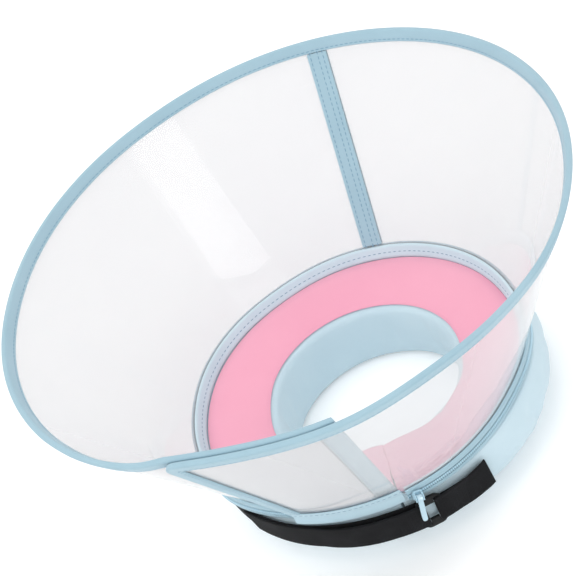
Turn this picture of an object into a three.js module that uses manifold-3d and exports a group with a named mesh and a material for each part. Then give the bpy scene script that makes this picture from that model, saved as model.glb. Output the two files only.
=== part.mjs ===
// Pet recovery collar: a clear cone with cloth binding, zipped onto a padded ring.
// Millimetres, +Z up. The ring's axis is vertical, the collar's closure faces -Y.
import * as THREE from 'three';
import { mergeVertices } from 'three/addons/utils/BufferGeometryUtils.js';
import Manifold from 'manifold-3d';

// Cone
const rimRadius = 158.3;       // edge of the binding at the rim
const neckRadius = 97.5;       // middle of the sheet at the neck band's upper edge
const neckHeight = 47;         // height of that edge above the floor
const coneSlant = 126;         // neck band's upper edge to the rim, along the sheet
const sheetWall = 0.8;
const clearance = 0.32;        // between neighbouring pieces
const bindingWall = 1.0;       // one leg of the folded cloth
const bindingWidth = 7.6;
const innerEndWidth = 10.5;    // the wider strip on the inner layer's end
const cornerRadius = 7;        // outer flap's corner
const flapEnd = -132.3;        // turn of the outer flap's end, in degrees
const innerEnd = 261.8;        // turn of the inner layer's end, past a full turn
const backSeam = 61.5;         // azimuth of the seam tape
const seamWidth = 12;

// Neck band and zipper
const neckBandWall = 1.2;
const neckBandDrop = 8.0;      // below the band's upper edge, along the sheet
const sheetDrop = 5;           // part of the sheet held inside the band
const flapBandRise = 6;        // outer flap's band above the neck line
const flapBandDrop = 6.6;      // and below it, straight down over the zipper
const tapeWall = 1.1;
const tapeOffset = 0.85;       // tape's inner face outside the neck radius
const upperTapeWidth = 3.3;
const lowerTapeWidth = 2.2;
const coilRadius = 1.15;
const coilDrop = 4.6;          // coil's middle below the neck line
const zipStart = -95.6;        // turn where the zipper closes
const zipEndGap = 1;           // from the left end of the zipper to the ring's split

// Padded ring
const neckSpare = 4;           // ring's own radius outside the neck line
const topDrop = 6.3;           // ring's top below the neck line
const donutRadius = neckRadius + neckSpare;
const donutHeight = neckHeight - topDrop;
const holeRadius = 50;
const splitTurn = -98.4;       // where the ring opens
const splitGap = 0.8;          // width of the split
const tuckDepth = 11;          // how far the strap draws the lower wall in
const topPanelWall = 1.2;
const topPanelInset = 8.2;     // pink panel's edge inside the neck radius

// Closure panel between the two layers of the overlap
const closureMargin = 0.45;

// Strap, tab and ring
const strapWidth = 19;
const strapWall = 1.05;
const strapDrop = 2.5;         // strap's upper edge below the padded ring's top
const tabSink = 2.8;           // how much lower the tab lies
const strapFoot = donutHeight - strapDrop - strapWidth;
const tabFoot = strapFoot - tabSink;
const slopeFrom = -104;        // turn where the webbing starts to sink to the right
const slopeTo = -78;           // and where it lies level again
const strapRise = 0.32;        // strap's inner face outside the donut's widest line
const strapDraw = 2.2;         // webbing's lower edge inside its upper one
const drawFade = 12;           // degrees before the tab's end over which that ends
const strapEnd = 190;          // turn of the far sewn end
const strapFoldEnd = 205;      // turn where the doubled layer ends
const strapSplit = 232;        // turn where the two layers part towards the ring
const tabEnd = -70.6;
const tabFoldEnd = -79;        // turn where the tab's inner layer ends
const ringTurn = -91.4;        // middle of the ring
const ringWidth = 13.4;
const ringRoom = 0.4;          // window above and below the webbing
const ringBar = 2.6;           // width of the two bars that hold the webbing
const ringCross = 1.5;         // width of the bars above and below it
const ringHeight = strapWidth + 2 * (ringCross + ringRoom);
const ringDepth = 1.7;
const ringCorner = 4;
const windowHeight = 12.6;     // opening between the two tongues of the ring
const tongueSpare = 0.35;      // tongue to the webbing on either side
const ringClearance = 0.32;    // webbing round a bar

// Slider and pull
const sliderTurn = -92.8;
const sliderLean = 12;         // degrees that the slider and its pull lean to the left
const sliderWidth = 5.6;
const sliderHeight = 5.8;
const sliderCorner = 1.6;
const sliderWall = 1.1;
const earHeight = 4.6;
const earWidth = 2.8;
const earTip = 0.4;            // ear left outside the pin
const earWall = 0.7;
const pinRadius = 0.6;
const eyeWall = 1.0;
const pullWidth = 2.7;
const pullLength = 14.6;       // from the pin to the foot
const pullWall = 1.4;
const pullLean = 8;            // degrees from plumb
const pinRise = 1.4;           // pin above the coil's middle

const fullTurn = 360;

// Facets
const turnSteps = 80;          // stations in a full turn
const stepTurn = fullTurn / turnSteps;
const endSpare = 0.8;          // degrees between a piece's end and the nearest station

// Outline of the cone. turn: unrolled azimuth in degrees; rim, neck: shares of rimRadius
// and neckRadius; inset: share of the layer gap by which the wall lies inside.
const outline = [
  { turn: -132.3, rim: 0.975, neck: 1.000, inset: 0 },
  { turn: -126, rim: 0.964, neck: 1.000, inset: 0 },
  { turn: -118, rim: 0.958, neck: 1.001, inset: 0 },
  { turn: -110, rim: 0.959, neck: 1.001, inset: 0 },
  { turn: -96, rim: 0.968, neck: 1.003, inset: 0 },
  { turn: -80, rim: 0.969, neck: 1.002, inset: 0 },
  { turn: -64, rim: 0.983, neck: 0.993, inset: 0 },
  { turn: -48, rim: 0.997, neck: 0.988, inset: 0 },
  { turn: -22, rim: 0.997, neck: 1.008, inset: 0 },
  { turn: 4, rim: 0.999, neck: 0.995, inset: 0 },
  { turn: 32, rim: 1.001, neck: 0.992, inset: 0 },
  { turn: 55, rim: 0.994, neck: 0.996, inset: 0 },
  { turn: 78, rim: 0.996, neck: 1.000, inset: 0 },
  { turn: 100, rim: 1.008, neck: 0.997, inset: 0 },
  { turn: 118, rim: 1.003, neck: 1.012, inset: 0 },
  { turn: 135, rim: 1.001, neck: 1.015, inset: 0 },
  { turn: 156, rim: 1.000, neck: 1.002, inset: 0 },
  { turn: 176, rim: 1.003, neck: 1.000, inset: 0 },
  { turn: 196, rim: 1.002, neck: 1.000, inset: 0 },
  { turn: 202, rim: 1.002, neck: 1.000, inset: 0.12 },
  { turn: 208, rim: 1.004, neck: 1.000, inset: 0.34 },
  { turn: 215, rim: 1.003, neck: 1.000, inset: 0.62 },
  { turn: 222, rim: 0.995, neck: 1.000, inset: 0.88 },
  { turn: 227.7, rim: 0.975, neck: 1.000, inset: 1 },
];

// Outline of the padded ring by turn from the split. hole, outer: shares of holeRadius and
// donutRadius; tuck: share of tuckDepth by which the strap draws the lower wall in.
const ringOutline = [
  { turn: -98, hole: 0.940, outer: 0.979, tuck: 1.0 },
  { turn: -85, hole: 0.955, outer: 0.983, tuck: 1.0 },
  { turn: -72, hole: 1.030, outer: 0.990, tuck: 0.9 },
  { turn: -58, hole: 1.070, outer: 1.004, tuck: 0.7 },
  { turn: -45, hole: 1.080, outer: 1.008, tuck: 0.5 },
  { turn: -17, hole: 1.050, outer: 1.008, tuck: 0.3 },
  { turn: 15, hole: 1.020, outer: 0.998, tuck: 0.2 },
  { turn: 55, hole: 1.000, outer: 0.988, tuck: 0.2 },
  { turn: 100, hole: 1.010, outer: 0.968, tuck: 0.2 },
  { turn: 135, hole: 0.990, outer: 0.956, tuck: 0.3 },
  { turn: 160, hole: 0.960, outer: 0.950, tuck: 0.7 },
  { turn: 188, hole: 0.980, outer: 0.948, tuck: 1.0 },
  { turn: 210, hole: 0.965, outer: 0.953, tuck: 1.0 },
  { turn: 226, hole: 0.955, outer: 0.961, tuck: 1.0 },
  { turn: 245, hole: 0.920, outer: 0.970, tuck: 1.0 },
  { turn: 255, hole: 0.900, outer: 0.976, tuck: 1.0 },
  { turn: 262, hole: 0.920, outer: 0.979, tuck: 1.0 },
];

// Section of the padded ring. across: share of the way from the hole to the outer wall;
// up: share of donutHeight; grip: share by which a row follows the zipper's line instead
// of the ring's own outline; tuck: share of the drawing in. The first rows carry the
// pink panel.
const section = [
  { across: 0.052, up: 0.880, grip: 0, tuck: 0 },
  { across: 0.260, up: 0.945, grip: 0, tuck: 0 },
  { across: 0.500, up: 0.985, grip: 0.5, tuck: 0 },
  { across: 0.700, up: 0.990, grip: 1, tuck: 0 },
  { across: 0.800, up: 0.980, grip: 1, tuck: 0 },
  { across: 0.880, up: 0.970, grip: 1, tuck: 0 },
  { across: 0.930, up: 0.952, grip: 1, tuck: 0 },
  { across: 0.955, up: 0.942, grip: 0.35, tuck: 0 },
  { across: 0.980, up: 0.830, grip: 0, tuck: 0 },
  { across: 0.996, up: 0.680, grip: 0, tuck: 0.09 },
  { across: 1.000, up: 0.500, grip: 0, tuck: 0.18 },
  { across: 0.982, up: 0.310, grip: 0, tuck: 0.45 },
  { across: 0.930, up: 0.160, grip: 0, tuck: 0.85 },
  { across: 0.840, up: 0.050, grip: 0, tuck: 1.00 },
  { across: 0.720, up: 0.000, grip: 0, tuck: 0.70 },
  { across: 0.180, up: 0.000, grip: 0, tuck: 0 },
  { across: 0.055, up: 0.030, grip: 0, tuck: 0 },
  { across: 0.000, up: 0.120, grip: 0, tuck: 0 },
  { across: 0.004, up: 0.450, grip: 0, tuck: 0 },
  { across: 0.022, up: 0.780, grip: 0, tuck: 0 },
];
const panelRows = 5;

const rad = (degrees) => degrees * Math.PI / 180;
const deg = (radians) => radians * 180 / Math.PI;

// Smooth value of a column at a turn, through the rows on either side.
function smooth(rows, column, turn) {
  const last = rows.length - 1;
  let i = 0;
  while (i < last - 1 && turn > rows[i + 1].turn) i += 1;
  const row = (k) => rows[Math.min(Math.max(k, 0), last)];
  const slope = (k) => {
    const a = row(k - 1);
    const b = row(k + 1);
    return (b[column] - a[column]) / (b.turn - a.turn);
  };
  const a = row(i);
  const b = row(i + 1);
  const span = b.turn - a.turn;
  const t = Math.min(Math.max((turn - a.turn) / span, 0), 1);
  const h1 = t * t * (2 * t - 3) + 1;
  const h2 = t * (1 - t) * (1 - t) * span;
  const h3 = t * t * (3 - 2 * t);
  const h4 = t * t * (t - 1) * span;
  return h1 * a[column] + h2 * slope(i) + h3 * b[column] + h4 * slope(i + 1);
}

// Distance between the middles of two layers: both bindings and three clearances.
const legOffset = sheetWall / 2 + clearance;
const legTop = legOffset + bindingWall;
const layerGap = 2 * legTop + clearance * 1.3;
const coneTilt = Math.asin((rimRadius - neckRadius) / coneSlant);
const layerShift = layerGap / Math.cos(coneTilt);

// Radii of one layer at a turn. Past a full turn the wall follows the outer flap inside.
function wallAt(turn) {
  const seen = turn > flapEnd + fullTurn ? turn - fullTurn : turn;
  const inset = turn > flapEnd + fullTurn ? 1 : smooth(outline, 'inset', turn);
  const shift = layerShift * inset;
  return {
    neck: neckRadius * smooth(outline, 'neck', seen) - shift,
    rim: rimRadius * smooth(outline, 'rim', seen) - shift,
  };
}

function at(turn, radius, height) {
  return new THREE.Vector3(radius * Math.cos(rad(turn)), radius * Math.sin(rad(turn)), height);
}

// Point on the cone: along the slant from the neck line, and out from the sheet's middle.
function conePoint(turn, along, out) {
  const wall = wallAt(turn);
  const across = (wall.rim - wall.neck) / coneSlant;
  const up = Math.sqrt(1 - across * across);
  return at(turn, wall.neck + across * along + up * out, neckHeight + up * along - across * out);
}

// Point beside the neck line: out from the neck radius, at a height above the floor.
function neckPoint(turn, out, height) {
  return at(turn, wallAt(turn).neck + out, height);
}

// Degrees that a width on the cone spans, where the wall is `along` above the neck.
function spanAt(width, turn, along) {
  const wall = wallAt(turn);
  return deg(width / (wall.neck + (wall.rim - wall.neck) * along / coneSlant));
}

// The stations of a piece: its two ends and the shared steps between them.
function stations(from, to) {
  const list = [from];
  for (let k = Math.ceil((from + endSpare) / stepTurn); k * stepTurn < to - endSpare; k += 1) {
    list.push(k * stepTurn);
  }
  list.push(to);
  return list;
}

// Closed solid through rings of points. Every ring has the same count and turns the same way.
function loft(rings) {
  const count = rings[0].length;
  const end = (rings.length - 1) * count;
  const faces = capFaces(rings[0]);
  for (let a = 0; a < end; a += count) {
    const b = a + count;
    for (let j = 0; j < count; j += 1) {
      const k = (j + 1) % count;
      faces.push([a + j, b + j, b + k], [a + j, b + k, a + k]);
    }
  }
  for (const [p, q, r] of capFaces(rings[rings.length - 1])) {
    faces.push([end + p, end + r, end + q]);
  }
  return solid(rings.flat(), faces);
}

// Triangles over one ring, found in the plane that fits it best.
function capFaces(ring) {
  const normal = new THREE.Vector3();
  ring.forEach((p, i) => {
    const q = ring[(i + 1) % ring.length];
    normal.x += (p.y - q.y) * (p.z + q.z);
    normal.y += (p.z - q.z) * (p.x + q.x);
    normal.z += (p.x - q.x) * (p.y + q.y);
  });
  normal.normalize();
  const side = Math.abs(normal.z) < 0.9 ? new THREE.Vector3(0, 0, 1) : new THREE.Vector3(1, 0, 0);
  const u = new THREE.Vector3().crossVectors(side, normal).normalize();
  const v = new THREE.Vector3().crossVectors(normal, u);
  const flat = ring.map((p) => new THREE.Vector2(p.dot(u), p.dot(v)));
  return THREE.ShapeUtils.triangulateShape(flat, []);
}

// Indexed geometry with shared corners, no empty faces, and faces pointing out.
function solid(points, faces) {
  const raw = new THREE.BufferGeometry();
  raw.setAttribute('position', new THREE.Float32BufferAttribute(
    points.flatMap((p) => [p.x, p.y, p.z]), 3));
  raw.setIndex(faces.flat());
  const merged = mergeVertices(raw, 1e-3);
  const index = merged.index.array;
  const kept = [];
  for (let i = 0; i < index.length; i += 3) {
    const [a, b, c] = [index[i], index[i + 1], index[i + 2]];
    if (a !== b && b !== c && c !== a) kept.push(a, b, c);
  }
  const place = merged.attributes.position;
  const corner = (i) => new THREE.Vector3().fromBufferAttribute(place, i);
  let volume = 0;
  for (let i = 0; i < kept.length; i += 3) {
    volume += corner(kept[i]).dot(corner(kept[i + 1]).cross(corner(kept[i + 2])));
  }
  if (volume < 0) {
    for (let i = 0; i < kept.length; i += 3) {
      [kept[i + 1], kept[i + 2]] = [kept[i + 2], kept[i + 1]];
    }
  }
  merged.setIndex(kept);
  merged.computeVertexNormals();
  return merged;
}

const collar = new THREE.Group();

function add(name, geometry, color, roughness, metalness = 0, extra = {}) {
  const material = new THREE.MeshStandardMaterial({ color, roughness, metalness, ...extra });
  const mesh = new THREE.Mesh(geometry, material);
  mesh.name = name;
  collar.add(mesh);
  return mesh;
}

const blue = 0xaed2e2;
const paleBlue = 0xd4ebf4;
const pink = 0xfab0c8;
const black = 0x1b1c1f;

// Clear sheets: straight from the neck to the rim, one each side of the back seam.
const half = sheetWall / 2;
const sheetTop = coneSlant - bindingWall - clearance;
const flapFoot = 0.6;
const trimFoot = legTop * Math.tan(coneTilt) + clearance;   // above the zipper tape
const bindingLeg = bindingWidth - bindingWall - clearance;
const innerLeg = innerEndWidth - bindingWall - clearance;
const flapEdge = flapEnd + spanAt(bindingWall + clearance, flapEnd, coneSlant / 2);
const innerEdge = innerEnd - spanAt(bindingWall + clearance, innerEnd, coneSlant / 2);

// Moves a spot on the cone by millimetres round it and along it.
function moved(spot, round, along) {
  const height = spot.along + along;
  return { turn: spot.turn + spanAt(round, spot.turn, height), along: height };
}

// The outer flap's rounded corner: edge spots and the outward direction at each.
const flapCorner = [90, 45, 0].map((angle) => {
  const away = { round: -Math.cos(rad(angle)), along: Math.sin(rad(angle)) };
  const round = cornerRadius * (1 + away.round);
  const along = cornerRadius * (away.along - 1);
  return { away, spot: moved({ turn: flapEdge, along: sheetTop }, round, along) };
});

function sheetRing(turn, foot, top) {
  return [
    conePoint(turn, foot, half), conePoint(turn, top, half),
    conePoint(turn, top, -half), conePoint(turn, foot, -half),
  ];
}

function sheet(from, to) {
  return stations(from, to).map((turn) => sheetRing(
    turn, turn < zipStart - 1 ? flapFoot : -sheetDrop, sheetTop));
}

const webHalf = bindingWall / 2;
const seamHalf = deg((webHalf + clearance) / neckRadius);
const clearLook = { transparent: true, opacity: 0.25 };
const flapRings = flapCorner.slice(1).reverse().map(
  ({ spot }) => sheetRing(spot.turn, flapFoot, spot.along));
const rightRings = [...flapRings, ...sheet(flapCorner[0].spot.turn, backSeam - seamHalf)];
add('cone_panel_right', loft(rightRings), 0xf4f6f7, 0.08, 0, clearLook);
const leftRings = sheet(backSeam + seamHalf, innerEdge);
add('cone_panel_left', loft(leftRings), 0xf4f6f7, 0.08, 0, clearLook);

// Folded binding: a U section over the sheet's edge. Its legs end at an inner spot.
function bindingRing(edge, away, inner) {
  const out = (reach) => moved(edge, away.round * reach, away.along * reach);
  const fold = out(clearance + bindingWall);
  const slot = out(clearance);
  return [
    [inner, legOffset], [inner, legTop], [fold, legTop], [fold, -legTop],
    [inner, -legTop], [inner, -legOffset], [slot, -legOffset], [slot, legOffset],
  ].map(([spot, offset]) => conePoint(spot.turn, spot.along, offset));
}

function binding() {
  const top = sheetTop - bindingLeg;
  const shares = [0, 1 / 3, 2 / 3, 1];
  const rings = [];
  const straight = (turn, from, to, away, leg) => shares.forEach((share) => {
    const edge = { turn, along: from + (to - from) * share };
    rings.push(bindingRing(edge, away, moved(edge, -away.round * leg, 0)));
  });
  const innerTop = { turn: innerEdge, along: sheetTop };
  const innerHeel = moved(innerTop, -innerLeg, -bindingLeg);
  straight(innerEdge, trimFoot, top, { round: 1, along: 0 }, innerLeg);
  rings.push(bindingRing(innerTop, { round: 1, along: 1 }, innerHeel));
  const flapHeel = moved({ turn: flapEdge, along: sheetTop }, bindingLeg, -bindingLeg);
  for (const turn of stations(flapHeel.turn, innerHeel.turn).reverse()) {
    rings.push(bindingRing({ turn, along: sheetTop }, { round: 0, along: 1 }, { turn, along: top }));
  }
  for (const { spot, away } of flapCorner) rings.push(bindingRing(spot, away, flapHeel));
  straight(flapEdge, top, flapBandRise + clearance, { round: -1, along: 0 }, bindingLeg);
  return loft(rings);
}
add('edge_binding', binding(), blue, 0.85);

// Seam tape: an H section, half inside and half outside, the sheets end at its web.
function seamTape() {
  const rings = [];
  const top = sheetTop - bindingLeg - clearance;
  for (const t of [0, 0.5, 1]) {
    const along = trimFoot + (top - trimFoot) * t;
    const spot = (side, out) => conePoint(backSeam + spanAt(side, backSeam, along), along, out);
    const wide = seamWidth / 2;
    rings.push([
      spot(-wide, legOffset), spot(-wide, legTop), spot(wide, legTop), spot(wide, legOffset),
      spot(webHalf, legOffset), spot(webHalf, -legOffset), spot(wide, -legOffset),
      spot(wide, -legTop), spot(-wide, -legTop), spot(-wide, -legOffset),
      spot(-webHalf, -legOffset), spot(-webHalf, legOffset),
    ]);
  }
  return loft(rings);
}
add('back_seam_tape', seamTape(), blue, 0.85);

// Neck band inside the sheets' lower edge.
const bandIn = legOffset + neckBandWall;
const zipEnd = splitTurn + fullTurn - deg(zipEndGap / neckRadius);
const neckBand = loft(stations(zipStart, zipEnd).map((turn) => [
  conePoint(turn, -neckBandDrop, -legOffset), conePoint(turn, 0, -legOffset),
  conePoint(turn, 0, -bandIn), conePoint(turn, -neckBandDrop, -bandIn),
]));
add('neck_band', neckBand, blue, 0.85);

// Band of the outer flap: over the sheet's lower edge and straight down over the zipper.
const flapBandLow = neckHeight - flapBandDrop;
const flapBand = loft(stations(flapEnd, zipStart - 1.1).map((turn) => [
  conePoint(turn, flapBandRise, legOffset), conePoint(turn, flapBandRise, legTop),
  conePoint(turn, clearance, legTop), neckPoint(turn, tapeOffset + tapeWall, flapBandLow),
  neckPoint(turn, tapeOffset, flapBandLow), conePoint(turn, clearance, legOffset),
]));
add('flap_band', flapBand, blue, 0.85);

// Closure panel between the layers, clear of both bindings.
function closurePanel() {
  const outer = (turn) => turn + fullTurn;
  const low = flapBandRise + closureMargin;
  const high = sheetTop - bindingLeg - closureMargin;
  const rings = [];
  const columns = 7;
  for (let i = 0; i < columns; i += 1) {
    const share = i / (columns - 1);
    const spot = (along, out) => {
      const left = flapEdge + spanAt(bindingLeg + closureMargin, flapEnd, along);
      const right = innerEdge - fullTurn - spanAt(innerLeg + closureMargin, innerEnd, along);
      return conePoint(outer(left + (right - left) * share), along, out);
    };
    const near = legOffset;
    const far = layerGap - legOffset;
    rings.push([spot(low, near), spot(low, far), spot(high, far), spot(high, near)]);
  }
  return loft(rings);
}
add('closure_panel', closurePanel(), 0xe4e6ea, 0.9);

// Zipper: tape under the cone, coil, tape on the ring's shoulder.
const coilHeight = neckHeight - coilDrop;
const coilOut = tapeOffset + tapeWall / 2;
const zipTurns = stations(zipStart, zipEnd);
const coilRise = coilRadius * Math.sqrt(3) / 2;

function tape(low, high) {
  return loft(zipTurns.map((turn) => [
    neckPoint(turn, tapeOffset, low), neckPoint(turn, tapeOffset + tapeWall, low),
    neckPoint(turn, tapeOffset + tapeWall, high), neckPoint(turn, tapeOffset, high),
  ]));
}
const upperLow = coilHeight + coilRise + clearance;
const lowerHigh = coilHeight - coilRise - clearance;
add('zipper_tape_upper', tape(upperLow, upperLow + upperTapeWidth), blue, 0.85);
add('zipper_tape_lower', tape(lowerHigh - lowerTapeWidth, lowerHigh), blue, 0.85);
const coil = loft(zipTurns.map((turn) => [0, 60, 120, 180, 240, 300].map((angle) => neckPoint(
  turn, coilOut + coilRadius * Math.cos(rad(angle)),
  coilHeight + coilRadius * Math.sin(rad(angle))))));
add('zipper_coil', coil, 0x9cc4d6, 0.5);

// Padded ring: open at the split, pulled in beside it where the strap closes it.
const splitHalf = deg(splitGap / 2 / donutRadius);
const donutFrom = splitTurn + splitHalf;
const donutTo = splitTurn + fullTurn - splitHalf;
const holeAt = (turn) => holeRadius * smooth(ringOutline, 'hole', turn);
const outerAt = (turn) => donutRadius * smooth(ringOutline, 'outer', turn);

function donutPoint(turn, row, lift = 0) {
  const grip = outerAt(turn) * (1 - row.grip) + (wallAt(turn).neck + neckSpare) * row.grip;
  const tuck = tuckDepth * smooth(ringOutline, 'tuck', turn) * row.tuck;
  const radius = holeAt(turn) + (grip - holeAt(turn)) * row.across - tuck;
  return at(turn, radius, donutHeight * row.up + lift);
}
const donut = loft(stations(donutFrom, donutTo).map(
  (turn) => section.map((row) => donutPoint(turn, row))));
add('donut_cushion', donut, paleBlue, 0.9);

// Pink panel on the ring's top, up to the neck band.
const topPanel = loft(stations(donutFrom, donutTo).map((turn) => {
  const rows = section.slice(0, panelRows);
  const last = rows[panelRows - 1];
  const reach = wallAt(turn).neck - topPanelInset - holeAt(turn);
  const span = wallAt(turn).neck + neckSpare - holeAt(turn);
  rows[panelRows - 1] = { ...last, across: reach / span };
  return [
    ...rows.map((row) => donutPoint(turn, row, clearance)),
    ...rows.reverse().map((row) => donutPoint(turn, row, clearance + topPanelWall)),
  ];
}));
add('top_panel', topPanel, pink, 0.9);

// Plan route of the webbing outside the ring's widest line, by turn.
function strapLine(turn) {
  return outerAt(turn > innerEnd ? turn - fullTurn : turn) + strapRise;
}

// Lower edge of the webbing at a turn, and how far its upper edge leans to the right there.
const slopeRun = rad(slopeTo - slopeFrom) * (donutRadius + strapRise);
const slope = (strapFoot - tabFoot) / slopeRun;
const slopeShare = (turn) => {
  const seen = turn > fullTurn / 2 ? turn - fullTurn : turn;
  return (seen - slopeFrom) / (slopeTo - slopeFrom);
};
function strapFootAt(turn) {
  return strapFoot + (tabFoot - strapFoot) * Math.min(Math.max(slopeShare(turn), 0), 1);
}
function strapLeanAt(turn) {
  const share = slopeShare(turn);
  return share > 0 && share < 1 ? strapWidth * slope : 0;
}

function strapDrawAt(turn) {
  const seen = turn > fullTurn / 2 ? turn - fullTurn : turn;
  return strapDraw * Math.min((tabEnd - seen) / drawFade, 1);
}

// Webbing on edge from its plan outline, rows of turn and radius.
function ribbon(outlineRows) {
  const rows = outlineRows.map(([turn, radius]) => {
    const lean = deg(strapLeanAt(turn) / 2 / radius);
    const low = strapFootAt(turn);
    const foot = at(turn - lean, radius - strapDrawAt(turn), low);
    return [foot, at(turn + lean, radius, low + strapWidth)];
  });
  if (THREE.ShapeUtils.isClockWise(rows.map(([foot]) => foot))) rows.reverse();
  const count = rows.length;
  const points = [...rows.map(([foot]) => foot), ...rows.map(([, head]) => head)];
  const flat = rows.map(([foot]) => new THREE.Vector2(foot.x, foot.y));
  const faces = [];
  for (const [a, b, c] of THREE.ShapeUtils.triangulateShape(flat, [])) {
    faces.push([a, c, b], [count + a, count + b, count + c]);
  }
  for (let i = 0; i < count; i += 1) {
    const k = (i + 1) % count;
    faces.push([i, k, count + k], [i, count + k, count + i]);
  }
  return solid(points, faces);
}

// Ring and the two webbing folds share the ring's bars.
const barSpan = (width) => deg(width / donutRadius);
const ringIn = strapLine(fullTurn + ringTurn) + strapWall + ringClearance;
const barMiddle = ringIn + ringDepth / 2;
const leftBar = fullTurn + ringTurn - barSpan((ringWidth - ringBar) / 2);
const rightBar = ringTurn + barSpan((ringWidth - ringBar) / 2);
const foldIn = ringDepth / 2 + ringClearance;
const foldOut = foldIn + strapWall;
const foldSide = ringBar / 2 + ringClearance;

// Fold round a bar: points from the wall side to the front, around its square corners.
const foldRows = [
  { side: -0.9, depth: -1 },
  { side: 0.93, depth: -0.93 },
  { side: 1, depth: 0 },
  { side: 0.93, depth: 0.93 },
  { side: -0.9, depth: 1 },
];

function fold(bar, direction, depth, side) {
  return foldRows.map((row) => [
    bar + direction * barSpan(row.side * side), barMiddle + row.depth * depth,
  ]);
}

function strapOutline() {
  const back = stations(strapEnd, leftBar - endSpare).slice(0, -1);
  const front = stations(strapFoldEnd, leftBar - endSpare).slice(0, -1).reverse();
  const layer = strapWall + clearance;
  const frontIn = (turn) => {
    const near = strapLine(turn) + layer;
    const t = Math.min(Math.max((turn - strapSplit) / (leftBar - strapSplit), 0), 1);
    return near + (barMiddle + foldIn - near) * t * (2 - t);
  };
  return [
    ...back.map((turn) => [turn, strapLine(turn)]),
    ...fold(leftBar, 1, foldOut, foldSide + strapWall),
    ...front.map((turn) => [turn, frontIn(turn) + strapWall]),
    ...front.reverse().map((turn) => [turn, frontIn(turn)]),
    ...fold(leftBar, 1, foldIn, foldSide).reverse(),
    ...back.reverse().map((turn) => [turn, strapLine(turn) + strapWall]),
  ];
}
add('closure_strap', ribbon(strapOutline()), black, 0.8);

function tabOutline() {
  const front = stations(rightBar + endSpare, tabEnd).slice(1);
  const back = stations(rightBar + endSpare, tabFoldEnd).slice(1);
  const frontIn = (turn) => {
    const near = strapLine(turn) + clearance;
    const t = Math.min(Math.max((tabEnd - turn) / (tabEnd - rightBar), 0), 1);
    return near + (barMiddle + foldIn - near) * Math.sqrt(t);
  };
  return [
    ...front.slice().reverse().map((turn) => [turn, frontIn(turn) + strapWall]),
    ...fold(rightBar, -1, foldOut, foldSide + strapWall).reverse(),
    ...back.map((turn) => [turn, strapLine(turn)]),
    ...back.slice().reverse().map((turn) => [turn, strapLine(turn) + strapWall]),
    ...fold(rightBar, -1, foldIn, foldSide),
    ...front.map((turn) => [turn, frontIn(turn)]),
  ];
}
add('strap_tab', ribbon(tabOutline()), black, 0.8);

// Ring: a rounded frame that stands on edge against the strap. Two tongues keep the
// webbing on its bars.
function rounded(width, height, radius) {
  const shape = new THREE.Shape();
  const [x, y] = [width / 2, height / 2];
  shape.moveTo(-x + radius, -y);
  shape.lineTo(x - radius, -y);
  shape.absarc(x - radius, -y + radius, radius, -Math.PI / 2, 0);
  shape.lineTo(x, y - radius);
  shape.absarc(x - radius, y - radius, radius, 0, Math.PI / 2);
  shape.lineTo(-x + radius, y);
  shape.absarc(-x + radius, y - radius, radius, Math.PI / 2, Math.PI);
  shape.lineTo(-x, -y + radius);
  shape.absarc(-x + radius, -y + radius, radius, Math.PI, Math.PI * 1.5);
  return shape;
}

function plain(geometry) {
  const bare = geometry.index ? geometry.toNonIndexed() : geometry.clone();
  for (const name of Object.keys(bare.attributes)) {
    if (name !== 'position') bare.deleteAttribute(name);
  }
  const place = bare.attributes.position;
  const points = [];
  const faces = [];
  for (let i = 0; i < place.count; i += 1) {
    points.push(new THREE.Vector3().fromBufferAttribute(place, i));
    if (i % 3 === 2) faces.push([i - 2, i - 1, i]);
  }
  return solid(points, faces);
}

const ringShape = rounded(ringWidth, ringHeight, ringCorner);
const tongue = ringWidth / 2 - ringBar - ringClearance - strapWall - tongueSpare;
const [openX, openY] = [ringWidth / 2 - ringBar, ringHeight / 2 - ringCross];
const inward = windowHeight / 2;
ringShape.holes.push(new THREE.Path([
  [openX, -openY], [openX, openY], [tongue, openY], [tongue, inward], [-tongue, inward],
  [-tongue, openY], [-openX, openY], [-openX, -openY], [-tongue, -openY], [-tongue, -inward],
  [tongue, -inward], [tongue, -openY],
].reverse().map(([x, y]) => new THREE.Vector2(x, y))));
const ringSolid = plain(new THREE.ExtrudeGeometry(ringShape, {
  depth: ringDepth, bevelEnabled: false, curveSegments: 3,
}));

// Frame of a piece that stands on the wall: x along the wall, y up, z outward.
function standOn(mesh, turn, radius, height) {
  mesh.position.copy(at(turn, radius, height));
  const outward = at(turn, 1, 0);
  const along = new THREE.Vector3(-outward.y, outward.x, 0);
  mesh.quaternion.setFromRotationMatrix(
    new THREE.Matrix4().makeBasis(along, new THREE.Vector3(0, 0, 1), outward));
}
const ring = add('strap_ring', ringSolid, black, 0.4);
standOn(ring, ringTurn, ringIn - strapDraw / 2, strapFootAt(ringTurn) + strapWidth / 2);
ring.rotateZ(-Math.atan(slope));
ring.rotateX(Math.atan(strapDraw / strapWidth));

// Slider: a plate over the coil with two ears and a pin between them.
const earGap = pullWidth + 2 * clearance;
const pinOut = sliderWall + earHeight - pinRadius - earTip;
const solids = await Manifold();
solids.setup();

function toManifold(geometry) {
  return new solids.Manifold(new solids.Mesh({
    numProp: 3,
    vertProperties: new Float32Array(geometry.attributes.position.array),
    triVerts: new Uint32Array(geometry.index.array),
  }));
}

function fromManifold(body) {
  const mesh = body.getMesh();
  const points = [];
  const faces = [];
  for (let i = 0; i < mesh.vertProperties.length; i += mesh.numProp) {
    points.push(new THREE.Vector3(...mesh.vertProperties.slice(i, i + 3)));
  }
  for (let i = 0; i < mesh.triVerts.length; i += 3) {
    faces.push([...mesh.triVerts.slice(i, i + 3)]);
  }
  return solid(points, faces);
}

function block(width, height, depth, x, y, z) {
  const box = new THREE.BoxGeometry(width, height, depth);
  box.translate(x, y, z);
  return toManifold(plain(box));
}

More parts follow.
